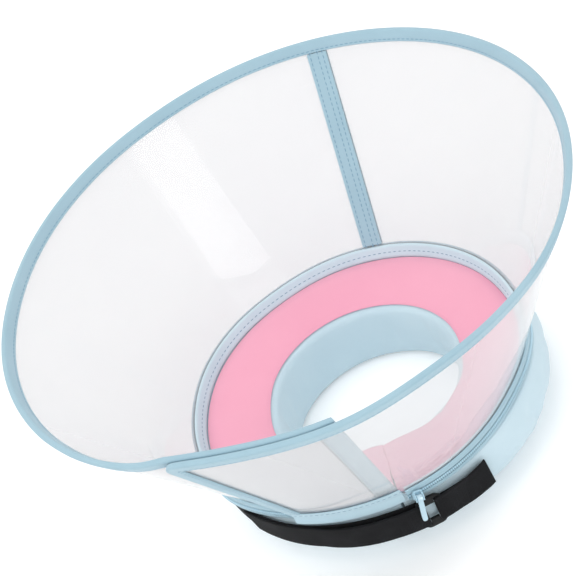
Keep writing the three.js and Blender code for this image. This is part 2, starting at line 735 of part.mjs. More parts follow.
function bar(radius, length, sides, x, y, z) {
  const rod = new THREE.CylinderGeometry(radius, radius, length, sides);
  rod.rotateZ(Math.PI / 2);
  rod.translate(x, y, z);
  return toManifold(plain(rod));
}

function sliderSolid() {
  const plate = plain(new THREE.ExtrudeGeometry(rounded(sliderWidth, sliderHeight, sliderCorner), {
    depth: sliderWall, bevelEnabled: false, curveSegments: 2,
  }));
  let body = toManifold(plate);
  for (const side of [-1, 1]) {
    const x = side * (earGap + earWall) / 2;
    const foot = sliderWall / 2;
    body = body.add(block(earWall, earWidth, sliderWall + earHeight - foot, x, pinRise,
      (sliderWall + earHeight + foot) / 2));
  }
  return fromManifold(body.add(bar(pinRadius, earGap + earWall, 10, 0, pinRise, pinOut)));
}
const sliderRadius = wallAt(sliderTurn).neck + coilOut + coilRadius + clearance;
const slider = add('zip_slider', sliderSolid(), 0xa8cfe0, 0.35, 0.2);
standOn(slider, sliderTurn, sliderRadius, coilHeight);
slider.rotateZ(-rad(sliderLean));

// Pull: an eye round the pin and a slim leaf with a rounded foot.
function pullSolid() {
  const bore = pinRadius + clearance;
  const eye = bore + eyeWall;
  const leaf = new THREE.Shape();
  const slim = pullWidth / 2;
  leaf.moveTo(-slim, -bore - 0.4);
  leaf.lineTo(-slim, -pullLength + slim);
  leaf.absarc(0, -pullLength + slim, slim, Math.PI, Math.PI * 2);
  leaf.lineTo(slim, -bore - 0.4);
  const leafSolid = new THREE.ExtrudeGeometry(leaf, {
    depth: pullWall, bevelEnabled: false, curveSegments: 6,
  });
  leafSolid.translate(0, 0, -pullWall / 2);
  const head = bar(eye, pullWidth, 14, 0, 0, 0);
  const cut = bar(bore, pullWidth * 2, 10, 0, 0, 0);
  return fromManifold(toManifold(plain(leafSolid)).add(head).subtract(cut));
}
const pull = add('zip_pull', pullSolid(), 0xb9dbe8, 0.35, 0.2);
standOn(pull, sliderTurn, sliderRadius + pinOut, coilHeight);
pull.rotateZ(-rad(sliderLean));
pull.translateY(pinRise);
pull.rotateX(-rad(pullLean));

// Origin on the floor under the middle of the whole collar.
collar.updateMatrixWorld(true);
const extent = new THREE.Box3().setFromObject(collar, true);
const middle = extent.getCenter(new THREE.Vector3());
collar.position.set(-middle.x, -middle.y, -extent.min.z);

export default collar;
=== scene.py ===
"""Recovery collar: a clear cone with cloth binding, zipped onto a padded ring.

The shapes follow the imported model. Tables and sizes are in millimetres in the ring's own
frame, with the ring's axis at the middle; `placed` takes them into the object's frame.
"""
import math

import bpy
import numpy as np
from mathutils import Matrix, Vector


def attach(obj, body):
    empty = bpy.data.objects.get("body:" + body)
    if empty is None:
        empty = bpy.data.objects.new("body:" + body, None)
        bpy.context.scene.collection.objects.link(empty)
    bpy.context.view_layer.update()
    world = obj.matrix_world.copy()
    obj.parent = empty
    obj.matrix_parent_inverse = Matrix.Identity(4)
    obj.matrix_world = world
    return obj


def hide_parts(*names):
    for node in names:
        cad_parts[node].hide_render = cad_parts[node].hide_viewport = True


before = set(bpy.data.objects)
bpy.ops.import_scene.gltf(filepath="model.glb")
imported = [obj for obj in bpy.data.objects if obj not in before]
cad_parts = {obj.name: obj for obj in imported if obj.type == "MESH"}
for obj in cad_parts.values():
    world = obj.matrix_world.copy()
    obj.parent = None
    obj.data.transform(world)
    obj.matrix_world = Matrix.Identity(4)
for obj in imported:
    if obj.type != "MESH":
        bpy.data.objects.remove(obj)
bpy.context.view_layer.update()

MM = 0.001
RING_AXIS = np.array([0.35078, -2.71918, 0.0])   # the ring's axis in the object's frame

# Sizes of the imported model
RIM_RADIUS = 158.3
NECK_RADIUS = 97.5
NECK_HEIGHT = 47.0
CONE_SLANT = 126.0
SHEET_WALL = 0.8
CLEARANCE = 0.32
BINDING_WALL = 1.0
BINDING_WIDTH = 7.6
INNER_END_WIDTH = 10.5
CORNER_RADIUS = 7.0
FLAP_END = -132.3
INNER_END = 261.8
BACK_SEAM = 61.5
SEAM_WIDTH = 12.0
NECK_BAND_WALL = 1.2
NECK_BAND_DROP = 8.0
SHEET_DROP = 5.0
FLAP_BAND_RISE = 6.0
FLAP_BAND_DROP = 6.6
TAPE_WALL = 1.1
TAPE_OFFSET = 0.85
UPPER_TAPE_WIDTH = 3.3
LOWER_TAPE_WIDTH = 2.2
COIL_RADIUS = 1.15
COIL_DROP = 4.6
ZIP_START = -95.6
ZIP_END_GAP = 1.0
DONUT_RADIUS = 101.5
DONUT_HEIGHT = 40.7
HOLE_RADIUS = 50.0
SPLIT_TURN = -98.4
TUCK_DEPTH = 11.0
PAD_MARGIN = 0.08           # from the white panel to the binding beside it
STRAP_WIDTH = 19.0
STRAP_WALL = 1.05
STRAP_FOOT = 19.2
TAB_FOOT = 16.4
SLOPE_FROM, SLOPE_TO = -104.0, -78.0
STRAP_RISE = 0.32
STRAP_DRAW = 2.2
DRAW_FADE = 12.0
STRAP_END = 190.0
STRAP_FOLD_END = 205.0
STRAP_SPLIT = 232.0
HIDDEN_CUT = 0.12           # share of its width the tab's hidden layer stays below the edge
TAB_END = -70.6
TAB_FOLD_END = -79.0
RING_TURN = -91.4
RING_WIDTH = 13.4
RING_BAR = 2.6
RING_DEPTH = 1.7
STITCH_WIDTH = 0.5
STITCH_HEIGHT = 0.34
RIB_PITCH = 0.0016          # of the webbing's ribs, in metres
TURN_STEP = 1.5             # degrees between the rings of most pieces

# Cone outline: turn, rim share, neck share, inset share of the gap between layers
CONE_OUTLINE = np.array([
    (-132.3, 0.975, 1.000, 0), (-126, 0.964, 1.000, 0), (-118, 0.958, 1.001, 0),
    (-110, 0.959, 1.001, 0), (-96, 0.968, 1.003, 0), (-80, 0.969, 1.002, 0),
    (-64, 0.983, 0.993, 0), (-48, 0.997, 0.988, 0), (-22, 0.997, 1.008, 0),
    (4, 0.999, 0.995, 0), (32, 1.001, 0.992, 0), (55, 0.994, 0.996, 0),
    (78, 0.996, 1.000, 0), (100, 1.008, 0.997, 0), (118, 1.003, 1.012, 0),
    (135, 1.001, 1.015, 0), (156, 1.000, 1.002, 0), (176, 1.003, 1.000, 0),
    (196, 1.002, 1.000, 0), (202, 1.002, 1.000, 0.12), (208, 1.004, 1.000, 0.34),
    (215, 1.003, 1.000, 0.62), (222, 0.995, 1.000, 0.88), (227.7, 0.975, 1.000, 1),
])

# Padded ring outline: turn, hole share, outer share, tuck share
RING_OUTLINE = np.array([
    (-98, 0.940, 0.979, 1.0), (-85, 0.955, 0.983, 1.0), (-72, 1.030, 0.990, 0.9),
    (-58, 1.070, 1.004, 0.7), (-45, 1.080, 1.008, 0.5), (-17, 1.050, 1.008, 0.3),
    (15, 1.020, 0.998, 0.2), (55, 1.000, 0.988, 0.2), (100, 1.010, 0.968, 0.2),
    (135, 0.990, 0.956, 0.3), (160, 0.960, 0.950, 0.7), (188, 0.980, 0.948, 1.0),
    (210, 0.965, 0.953, 1.0), (226, 0.955, 0.961, 1.0), (245, 0.920, 0.970, 1.0),
    (255, 0.900, 0.976, 1.0), (262, 0.920, 0.979, 1.0),
])

# Padded ring section: across share, up share, grip share, tuck share
RING_SECTION = [
    (0.052, 0.880, 0, 0), (0.260, 0.945, 0, 0), (0.500, 0.985, 0.5, 0),
    (0.700, 0.990, 1, 0), (0.800, 0.980, 1, 0), (0.880, 0.970, 1, 0),
    (0.930, 0.952, 1, 0), (0.955, 0.942, 0.35, 0), (0.980, 0.830, 0, 0),
    (0.996, 0.680, 0, 0.09), (1.000, 0.500, 0, 0.18), (0.982, 0.310, 0, 0.45),
    (0.930, 0.160, 0, 0.85), (0.840, 0.050, 0, 1.00), (0.720, 0.000, 0, 0.70),
    (0.180, 0.000, 0, 0), (0.055, 0.030, 0, 0), (0.000, 0.120, 0, 0),
    (0.004, 0.450, 0, 0), (0.022, 0.780, 0, 0),
]


# ---------------------------------------------------------------- shared shape

def smooth(rows, column, turn):
    """Value of a column at a turn, on the smooth line through the rows."""
    turns, values = rows[:, 0], rows[:, column]
    slopes = np.gradient(values, turns)
    slopes[1:-1] = (values[2:] - values[:-2]) / (turns[2:] - turns[:-2])
    i = int(np.clip(np.searchsorted(turns, turn, side="right") - 1, 0, len(turns) - 2))
    span = turns[i + 1] - turns[i]
    t = min(max((turn - turns[i]) / span, 0), 1)
    return (
        (t * t * (2 * t - 3) + 1) * values[i]
        + t * (1 - t) * (1 - t) * span * slopes[i]
        + t * t * (3 - 2 * t) * values[i + 1]
        + t * t * (t - 1) * span * slopes[i + 1]
    )


LEG_OFFSET = SHEET_WALL / 2 + CLEARANCE
LEG_TOP = LEG_OFFSET + BINDING_WALL
LAYER_GAP = 2 * LEG_TOP + CLEARANCE * 1.3
CONE_TILT = math.asin((RIM_RADIUS - NECK_RADIUS) / CONE_SLANT)
LAYER_SHIFT = LAYER_GAP / math.cos(CONE_TILT)


def wall_at(turn):
    """Neck and rim radius of one layer of the cone at a turn."""
    inner = turn > FLAP_END + 360
    seen = turn - 360 if inner else turn
    shift = LAYER_SHIFT * (1 if inner else smooth(CONE_OUTLINE, 3, turn))
    neck = NECK_RADIUS * smooth(CONE_OUTLINE, 2, seen) - shift
    return neck, RIM_RADIUS * smooth(CONE_OUTLINE, 1, seen) - shift


UP = np.array([0.0, 0.0, 1.0])


def at(turn, radius, height):
    angle = math.radians(turn)
    return np.array([radius * math.cos(angle), radius * math.sin(angle), height])


def cone_point(turn, along, out):
    """Point on the cone: along the slant from the neck line, out from the sheet's middle."""
    neck, rim = wall_at(turn)
    across = (rim - neck) / CONE_SLANT
    up = math.sqrt(1 - across * across)
    return at(turn, neck + across * along + up * out, NECK_HEIGHT + up * along - across * out)


def neck_point(turn, out, height):
    return at(turn, wall_at(turn)[0] + out, height)


def span_at(width, turn, along):
    """Degrees that a width spans on the cone."""
    neck, rim = wall_at(turn)
    return math.degrees(width / (neck + (rim - neck) * along / CONE_SLANT))


def moved(spot, around, along):
    """Spot on the cone (turn, along) moved by millimetres around it and along it."""
    high = spot[1] + along
    return spot[0] + span_at(around, spot[0], high), high


def stations(start, stop):
    """Evenly spaced turns, about TURN_STEP degrees apart."""
    return np.linspace(start, stop, max(2, int(round(abs(stop - start) / TURN_STEP)) + 1))


def placed(points):
    return (np.asarray(points, float) + RING_AXIS) * MM


def hole_at(turn):
    return HOLE_RADIUS * smooth(RING_OUTLINE, 1, turn)


def outer_at(turn):
    return DONUT_RADIUS * smooth(RING_OUTLINE, 2, turn)


def donut_point(turn, row):
    across, up, grip, tuck = row
    reach = outer_at(turn) * (1 - grip) + (wall_at(turn)[0] + DONUT_RADIUS - NECK_RADIUS) * grip
    drawn = TUCK_DEPTH * smooth(RING_OUTLINE, 3, turn) * tuck
    return at(turn, hole_at(turn) + (reach - hole_at(turn)) * across - drawn, DONUT_HEIGHT * up)


# ---------------------------------------------------------------- mesh helpers

def unit(rows):
    """Directions brought to length one."""
    return rows / np.linalg.norm(rows, axis=-1, keepdims=True)


def spots_of(mesh):
    """Positions of a mesh's vertices, one to a row."""
    spots = np.zeros(len(mesh.vertices) * 3)
    mesh.vertices.foreach_get("co", spots)
    return spots.reshape(-1, 3)


def new_object(name, data):
    thing = bpy.data.objects.new(name, data)
    bpy.context.scene.collection.objects.link(thing)
    return thing


def sweep(name, rings, crease=35):
    """Closed mesh through rings of points. Its UV map holds the lengths along and across."""
    rings = placed(rings)
    count, wide = rings.shape[:2]
    along = np.concatenate([[0], np.cumsum(np.linalg.norm(
        np.diff(rings, axis=0), axis=2).mean(axis=1))])
    loop = np.concatenate([rings, rings[:, :1]], axis=1)
    across = np.concatenate([[0], np.cumsum(np.linalg.norm(
        np.diff(loop, axis=1), axis=2).mean(axis=0))])
    faces, marks = [], []
    for i in range(count - 1):
        for j in range(wide):
            k = (j + 1) % wide
            faces.append((i * wide + j, (i + 1) * wide + j, (i + 1) * wide + k, i * wide + k))
            marks += [(along[i], across[j]), (along[i + 1], across[j]),
                      (along[i + 1], across[j + 1]), (along[i], across[j + 1])]
    for row, turned in ((0, False), (count - 1, True)):
        face = [row * wide + j for j in range(wide)]
        flat = [(along[row], across[j]) for j in range(wide)]
        faces.append(tuple(face[::-1]) if turned else tuple(face))
        marks += flat[::-1] if turned else flat
    mesh = bpy.data.meshes.new(name)
    mesh.from_pydata([tuple(p) for p in rings.reshape(-1, 3)], [], faces)
    layer = mesh.uv_layers.new(name="cloth")
    layer.data.foreach_set("uv", np.array(marks, np.float32).ravel())
    mesh.update()
    turn_outward(mesh)
    finish_shading(mesh, crease)
    return new_object(name, mesh)


def turn_outward(mesh):
    """Turns every face round if the closed mesh is inside out."""
    mesh.calc_loop_triangles()
    spots = spots_of(mesh)
    corners = np.zeros(len(mesh.loop_triangles) * 3, int)
    mesh.loop_triangles.foreach_get("vertices", corners)
    a, b, c = (spots[corners.reshape(-1, 3)[:, k]] for k in range(3))
    if np.einsum("ij,ij->i", a, np.cross(b, c)).sum() < 0:
        mesh.flip_normals()


def finish_shading(mesh, crease):
    mesh.shade_smooth()
    mesh.set_sharp_from_angle(angle=math.radians(crease))


def clean_copy(node, name, bevel, segments=2, crease=40):
    """Merged copy of a hard CAD node with its edges rounded."""
    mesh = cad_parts[node].data.copy()
    mesh.name = name
    thing = new_object(name, mesh)
    bpy.context.view_layer.objects.active = thing
    for step in (("weld", "WELD"), ("bevel", "BEVEL")):
        thing.modifiers.new(*step)
    thing.modifiers["weld"].merge_threshold = 1e-5
    edge = thing.modifiers["bevel"]
    edge.width = bevel * MM
    edge.segments = segments
    edge.limit_method = "ANGLE"
    edge.angle_limit = math.radians(crease)
    return applied(thing, crease)


def applied(thing, crease=None):
    """The same piece with its modifiers made part of its mesh."""
    graph = bpy.context.evaluated_depsgraph_get()
    mesh = bpy.data.meshes.new_from_object(thing.evaluated_get(graph))
    thing.modifiers.clear()
    old, thing.data = thing.data, mesh
    mesh.name = thing.name
    bpy.data.meshes.remove(old)
    if crease:
        finish_shading(mesh, crease)
    return thing


def soften(thing):
    """Rounds a piece with subdivision that is made part of its mesh."""
    skin = thing.modifiers.new("rounding", "SUBSURF")
    skin.levels = skin.render_levels = 1
    return applied(thing, 60)


# ---------------------------------------------------------------- material helpers

NODE_ROW, NODE_ACROSS, NODE_DOWN = 8, 200, -300   # nodes in a row, and steps between them
FLOAT, COLOR, VECTOR = "NodeSocketFloat", "NodeSocketColor", "NodeSocketVector"


def fed(tree, made, values):
    """A node with inputs, by name or number, linked to outputs or set to values."""
    for name, value in values.items():
        if hasattr(value, "links"):
            tree.links.new(value, made.inputs[name])
        elif value is not None:
            made.inputs[name].default_value = value
    return made


def node(tree, kind, values=None, **settings):
    """New node, set out in rows, with its settings and its inputs."""
    made = tree.nodes.new(kind)
    down, across = divmod(len(tree.nodes), NODE_ROW)
    made.location = (NODE_ACROSS * across, NODE_DOWN * down)
    for key, value in settings.items():
        setattr(made, key, value)
    return fed(tree, made, values or {})


def maths(tree, operation, *values, clamp=False):
    return node(tree, "ShaderNodeMath", dict(enumerate(values)), operation=operation,
                use_clamp=clamp).outputs[0]


def mixed(tree, kind, factor, first, second):
    return node(tree, "ShaderNodeMix", {"Factor": factor, "A": first, "B": second},
                data_type=kind).outputs["Result"]


def noise(tree, vector, scale, detail=2.0):
    return node(tree, "ShaderNodeTexNoise",
                {"Vector": vector, "Scale": scale, "Detail": detail}).outputs["Fac"]


def bumped(tree, height, distance, strength, under=None):
    """Normal of a height, on top of another normal if one is given."""
    return node(tree, "ShaderNodeBump", {"Height": height, "Distance": distance,
                                         "Strength": strength, "Normal": under}).outputs["Normal"]


def group(name, inputs, outputs):
    """Empty shader group with named sockets: rows of name, kind, value."""
    tree = bpy.data.node_groups.new(name, "ShaderNodeTree")
    for label, kind, value in inputs:
        socket = tree.interface.new_socket(label, in_out="INPUT", socket_type=kind)
        if value is not None:
            socket.default_value = value
    for label, kind in outputs:
        tree.interface.new_socket(label, in_out="OUTPUT", socket_type=kind)
    return tree, node(tree, "NodeGroupInput").outputs, node(tree, "NodeGroupOutput")


def make_weave():
    """Plain weave: warp and weft threads that pass over each other."""
    tree, start, end = group(
        "Plain weave", [("Vector", VECTOR, None), ("Thread", FLOAT, 0.0006)],
        [("Height", FLOAT), ("Gap", FLOAT)])
    split = node(tree, "ShaderNodeSeparateXYZ", {0: start["Vector"]}).outputs
    waves = []
    for axis in "XY":
        share = maths(tree, "DIVIDE", split[axis], start["Thread"])
        waves.append(maths(tree, "SINE", maths(tree, "MULTIPLY", share, math.pi)))
    warp, weft = (maths(tree, "ABSOLUTE", wave) for wave in waves)
    over = maths(tree, "GREATER_THAN", maths(tree, "MULTIPLY", *waves), 0.0)
    height = mixed(tree, "FLOAT", over, warp, weft)
    # Gap, the low places between threads, feeds the painted shade in the cloth tone.
    fed(tree, end, {"Height": height, "Gap": maths(tree, "SUBTRACT", 1.0, height)})
    return tree


def make_tone():
    """Soft light and dark places in one colour, and painted shade that darkens the spaces between
    threads.
    """
    tree, start, end = group(
        "Cloth tone",
        [("Vector", VECTOR, None), ("Color", COLOR, (1, 1, 1, 1)), ("Shade", COLOR, (0, 0, 0, 1)),
         ("Scale", FLOAT, 30.0), ("Amount", FLOAT, 0.3), ("Gap", FLOAT, 0.0)],
        [("Color", COLOR), ("Mask", FLOAT)])
    clouds = noise(tree, start["Vector"], start["Scale"], 4.0)
    mask = node(tree, "ShaderNodeMapRange", {
        "Value": clouds, "From Min": 0.35, "From Max": 0.65}).outputs["Result"]
    # Painted shade: the low places between threads are darkened toward the shade colour.
    gap_shade = maths(tree, "MULTIPLY", start["Gap"], 0.25)
    both = maths(tree, "ADD", maths(tree, "MULTIPLY", mask, start["Amount"]), gap_shade, clamp=True)
    color = mixed(tree, "RGBA", both, start["Color"], start["Shade"])
    fed(tree, end, {"Color": color, "Mask": mask})
    return tree


WEAVE = make_weave()
TONE = make_tone()


def srgb(red, green, blue):
    """Linear colour with alpha from 0-255 display values."""
    def line(value):
        value /= 255
        return value / 12.92 if value <= 0.04045 else ((value + 0.055) / 1.055) ** 2.4
    return line(red), line(green), line(blue), 1.0


def used_group(tree, shared, **values):
    made = node(tree, "ShaderNodeGroup", node_tree=shared)
    return fed(tree, made, {name.capitalize(): value for name, value in values.items()}).outputs


def bare_material(name, coordinates="Object"):
    """New material: itself, its tree, its shader and the coordinates of its patterns."""
    made = bpy.data.materials.new(name)
    made.use_nodes = True
    tree = made.node_tree
    place = node(tree, "ShaderNodeTexCoord").outputs[coordinates]
    return made, tree, tree.nodes["Principled BSDF"], place


def cloth(name, color, shade, thread=0.0005, scale=28.0, crumple=0.0):
    """Woven cloth that reads its piece's own UV map, in metres."""
    made, tree, shader, place = bare_material(name)
    lay = node(tree, "ShaderNodeUVMap", uv_map="cloth").outputs["UV"]
    weave = used_group(tree, WEAVE, vector=lay, thread=thread)
    tone = used_group(tree, TONE, vector=place, color=color, shade=shade, scale=scale,
                      amount=0.35, gap=weave["Gap"])
    folds = bumped(tree, noise(tree, place, 45.0, 3.0), crumple, 0.5) if crumple else None
    fed(tree, shader, {
        "Base Color": tone["Color"],
        "Roughness": maths(tree, "MULTIPLY_ADD", tone["Mask"], 0.08, 0.81),
        "Normal": bumped(tree, weave["Height"], 0.00012, 0.6, folds),
        "Sheen Weight": 0.25, "Sheen Roughness": 0.5, "Specular IOR Level": 0.25})
    return made


def clear_vinyl():
    """Clear vinyl film: glossy, and open to light that lies behind it; its white haze is partly the
    film's own milkiness and partly painted reflection of the pale floor.
    """
    made, tree, shader, place = bare_material("clear vinyl")
    # White haze: partly real milkiness, partly painted reflection of the pale floor; the low IOR
    # keeps the real reflection weak.
    tone = used_group(tree, TONE, vector=place, color=srgb(231, 231, 232),
                      shade=srgb(227, 227, 229), scale=9.0, amount=0.6)
    path = node(tree, "ShaderNodeLightPath").outputs
    passing = maths(tree, "MAXIMUM", path["Is Shadow Ray"], path["Is Diffuse Ray"])
    fed(tree, shader, {
        "Base Color": tone["Color"],
        "Roughness": maths(tree, "MULTIPLY_ADD", tone["Mask"], 0.012, 0.012),
        "Normal": bumped(tree, noise(tree, place, 9.0, 1.0), 0.0003, 0.1),
        "Transmission Weight": 0.74, "IOR": 1.16,
        "Alpha": maths(tree, "MULTIPLY_ADD", passing, -0.94, 1.0)})
    return made


def unmirrored(tree, shade):
    """Pale blue for glossy reflections, so the film never mirrors the black pieces."""
    path = node(tree, "ShaderNodeLightPath").outputs
    mirrored = maths(tree, "MULTIPLY", path["Is Glossy Ray"], path["Is Reflection Ray"])
    return mixed(tree, "RGBA", mirrored, shade, srgb(215, 232, 240))


def moulded(name, color, shade, roughness, coat=0.0, metallic=0.0, shine=0.5, black=False):
    """Hard moulded or enamelled part with a faint grain."""
    made, tree, shader, place = bare_material(name)
    tone = used_group(tree, TONE, vector=place, color=color, shade=shade, scale=120.0, amount=0.4)
    seen = tone["Color"]
    # Black pieces show glossy reflection rays a painted pale blue reflection colour.
    fed(tree, shader, {
        "Base Color": unmirrored(tree, seen) if black else seen,
        "Roughness": maths(tree, "MULTIPLY_ADD", tone["Mask"], 0.1, roughness),
        "Normal": bumped(tree, noise(tree, place, 900.0), 0.00005, 0.4),
        "Metallic": metallic, "Specular IOR Level": shine, "Coat Weight": coat})
    return made


def webbing():
    """Black webbing: a plain weave with ribs across it."""
    made, tree, shader, place = bare_material("black webbing")
    lay = node(tree, "ShaderNodeUVMap", uv_map="cloth").outputs["UV"]
    weave = used_group(tree, WEAVE, vector=lay, thread=0.0009)
    along = node(tree, "ShaderNodeSeparateXYZ", {0: lay}).outputs["X"]
    ribs = maths(tree, "SINE", maths(tree, "MULTIPLY", along, 2 * math.pi / RIB_PITCH))
    tone = used_group(tree, TONE, vector=place, color=srgb(24, 25, 28), shade=srgb(12, 12, 14),
                      scale=60.0, amount=0.5, gap=weave["Gap"])
    height = maths(tree, "MULTIPLY_ADD", ribs, 0.4, weave["Height"])
    # Glossy reflection rays see a painted pale blue reflection colour instead of the black webbing.
    fed(tree, shader, {
        "Base Color": unmirrored(tree, tone["Color"]),
        "Roughness": maths(tree, "MULTIPLY_ADD", tone["Mask"], 0.1, 0.85),
        "Normal": bumped(tree, height, 0.00015, 0.5),
        "Sheen Weight": 0.03, "Specular IOR Level": 0.12})
    return made


PALE_BLUE = cloth("pale blue cloth", srgb(201, 222, 231), srgb(186, 210, 222), crumple=0.0006)
PINK = cloth("pink cloth", srgb(242, 168, 191), srgb(236, 158, 183), scale=18.0, crumple=0.0004)
BINDING = cloth("blue binding cloth", srgb(164, 194, 207), srgb(148, 181, 196), thread=0.0006)
# The flap band is the same binding cloth, painted lighter to make up for the shade it lies in:
# painted light.
FLAP_BINDING_PAINTED_LIGHTER = cloth("flap band cloth", srgb(182, 209, 221), srgb(166, 196, 210), thread=0.0006)
BAND = cloth("pale band cloth", srgb(204, 222, 231), srgb(188, 208, 219))
PANEL = cloth("hook and loop panel", srgb(205, 206, 210), srgb(196, 198, 203), thread=0.0008,
              scale=14.0, crumple=0.0003)
THREAD = cloth("stitching thread", srgb(122, 158, 182), srgb(104, 142, 168), thread=0.0002)
WEBBING = webbing()
VINYL = clear_vinyl()
TEETH = moulded("blue zipper teeth", srgb(190, 221, 235), srgb(170, 204, 222), 0.35, coat=0.3)
ENAMEL = moulded("blue enamel", srgb(186, 213, 226), srgb(170, 200, 215), 0.32, coat=0.3,
                 metallic=0.1)
BLACK_PLASTIC = moulded("black moulded plastic", srgb(17, 17, 18), srgb(11, 11, 12), 0.5, shine=0.2,
                        black=True)
SLIDER_BLUE = moulded("slider enamel", srgb(172, 206, 222), srgb(156, 192, 210), 0.32, coat=0.4)


def dress(thing, material, slot, *nodes):
    """Gives a finished piece its material and its body, and hides the CAD nodes it stands for; its
    slot is not used.
    """
    thing.data.materials.clear()
    thing.data.materials.append(material)
    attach(thing, "pull" if "zip_pull" in nodes else "collar")
    if nodes:
        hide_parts(*nodes)
    return thing


# ---------------------------------------------------------------- rows of small parts

def make_row_tree():
    """Small rounded parts set along a path, each lying along the path's own directions."""
    tree = bpy.data.node_groups.new("Row of small parts", "GeometryNodeTree")
    for name, kind, value in (
        ("Geometry", "Geometry", None), ("Pitch", "Float", 0.0032), ("Length", "Float", 0.0022),
        ("Width", "Float", 0.0006), ("Height", "Float", 0.0004), ("Wobble", "Float", 0.04),
        ("Seed", "Int", 7), ("Material", "Material", None),
    ):
        socket = tree.interface.new_socket(name, in_out="INPUT", socket_type="NodeSocket" + kind)
        if value is not None:
            socket.default_value = value
    tree.interface.new_socket("Geometry", in_out="OUTPUT", socket_type="NodeSocketGeometry")
    start = node(tree, "NodeGroupInput").outputs
    curve = node(tree, "GeometryNodeMeshToCurve", {"Mesh": start["Geometry"]})
    even = node(tree, "GeometryNodeResampleCurve", {
        "Curve": curve.outputs["Curve"], "Length": start["Pitch"]}, mode="LENGTH")
    lie, out = (node(tree, "GeometryNodeInputNamedAttribute", {"Name": name},
                     data_type="FLOAT_VECTOR").outputs["Attribute"] for name in ("lie", "out"))
    turn = node(tree, "FunctionNodeAlignRotationToVector", {"Vector": lie}, axis="X")
    roll = node(tree, "FunctionNodeAlignRotationToVector", {
        "Rotation": turn.outputs["Rotation"], "Vector": out}, axis="Z", pivot_axis="X")
    wobble = node(tree, "FunctionNodeRandomValue", {
        2: maths(tree, "MULTIPLY", start["Wobble"], -1.0), 3: start["Wobble"],
        "Seed": start["Seed"]}, data_type="FLOAT")
    spin = node(tree, "FunctionNodeAxisAngleToRotation", {
        "Axis": (0, 0, 1), "Angle": wobble.outputs[1]})
    both = node(tree, "FunctionNodeRotateRotation", {
        "Rotation": roll.outputs["Rotation"], "Rotate By": spin.outputs["Rotation"]},
        rotation_space="LOCAL")
    part = node(tree, "GeometryNodeMeshIcoSphere", {"Radius": 0.5, "Subdivisions": 2})
    size = node(tree, "ShaderNodeCombineXYZ", {
        "X": start["Length"], "Y": start["Width"], "Z": start["Height"]})
    place = node(tree, "GeometryNodeInstanceOnPoints", {
        "Points": even.outputs["Curve"], "Instance": part.outputs["Mesh"],
        "Rotation": both.outputs["Rotation"], "Scale": size.outputs["Vector"]})
    real = node(tree, "GeometryNodeRealizeInstances", {"Geometry": place.outputs["Instances"]})
    shade = node(tree, "GeometryNodeSetShadeSmooth", {"Geometry": real.outputs["Geometry"]})
    paint = node(tree, "GeometryNodeSetMaterial", {
        "Geometry": shade.outputs["Geometry"], "Material": start["Material"]})
    node(tree, "NodeGroupOutput", {"Geometry": paint.outputs["Geometry"]})
    return tree


ROW_TREE = make_row_tree()
ROW_SEED = 7


def small_parts(name, paths, material, pitch, length, width, height, wobble):
    """Rows of small parts. A path is its points and, per point, how a part lies and faces."""
    spots, lies, outs, edges = [], [], [], []
    for points, lie, out in paths:
        first = len(spots)
        spots += list(placed(points))
        lies += list(lie)
        outs += list(out)
        edges += [(first + k, first + k + 1) for k in range(len(points) - 1)]
    mesh = bpy.data.meshes.new(name)
    mesh.from_pydata([tuple(p) for p in spots], edges, [])
    for label, values in (("lie", lies), ("out", outs)):
        layer = mesh.attributes.new(label, "FLOAT_VECTOR", "POINT")
        layer.data.foreach_set("vector", np.array(values, np.float32).ravel())
    thing = new_object(name, mesh)
    row = thing.modifiers.new("row", "NODES")
    row.node_group = ROW_TREE
    values = {"Pitch": pitch * MM, "Length": length * MM, "Width": width * MM,
              "Height": height * MM, "Wobble": wobble, "Seed": ROW_SEED, "Material": material}
    for item in ROW_TREE.interface.items_tree:
        if item.in_out == "INPUT" and item.name in values:
            row[item.identifier] = values[item.name]
    return applied(thing)


def path_frames(points, beside):
    """Points with their tangents and outward directions, found with the points beside them."""
    points, beside = np.array(points), np.array(beside)
    return points, unit(np.gradient(points, axis=0)), unit(beside - points)


def cone_path(spots, offset):
    """Path over spots on the cone (turn, along), at an offset from the sheet's middle."""
    beside = offset + math.copysign(1, offset)
    return path_frames([cone_point(*spot, offset) for spot in spots],
                       [cone_point(*spot, beside) for spot in spots])


def stitches(name, paths, pitch=3.0, length=2.3):
    """Rows of stitches on a cloth band. They stand for no CAD node."""
    rows = small_parts(name, paths, THREAD, pitch, length, STITCH_WIDTH, STITCH_HEIGHT, 0.04)
    return dress(rows, THREAD, "blue_binding")


# ---------------------------------------------------------------- padded ring

SPLIT_HALF = 0.25                  # degrees from the split to the padded ring's ends
RING_STEPS = 130
END_STEPS = (0.0, 0.3, 0.9, 1.8)   # degrees from each end to its first rings
END_RUN = 3.6                      # degrees from each end to the even rings
FOOT_BAND = 1.0                    # height of the flat foot, which stays as it is
SEAT_HEIGHT, SEAT_INSET = 34, 9    # the neck band's seat, which stays as it is
WEB_RADIUS, WEB_HEIGHT = 80, 13    # outside these, the webbing holds the ring in
FREE_PUSH, WEB_PUSH = 2.2, 0.1     # how far the filling may push, in millimetres
HELD_UNDER = 0.05                  # spots that may move less than this don't move at all
SIM_FRAMES = 20


def corner_cut(points):
    """One round of corner cutting on a closed outline: twice the points, rounder."""
    after = np.roll(points, -1, axis=0)
    return np.stack([points * 0.75 + after * 0.25, points * 0.25 + after * 0.75],
                    axis=1).reshape(-1, 3)


def ring_rows(turn):
    return corner_cut(np.array([donut_point(turn, row) for row in RING_SECTION]))


def ring_freedom(spot, turn):
    """How far the filling may push a spot outward, in millimetres."""
    radius = math.hypot(spot[0], spot[1])
    seat = spot[2] > SEAT_HEIGHT and radius > wall_at(turn)[0] - SEAT_INSET
    if spot[2] < FOOT_BAND or seat:
        return 0.0
    webbed = turn > STRAP_END - 6 or turn < TAB_END + 5
    return WEB_PUSH if webbed and radius > WEB_RADIUS and spot[2] > WEB_HEIGHT else FREE_PUSH


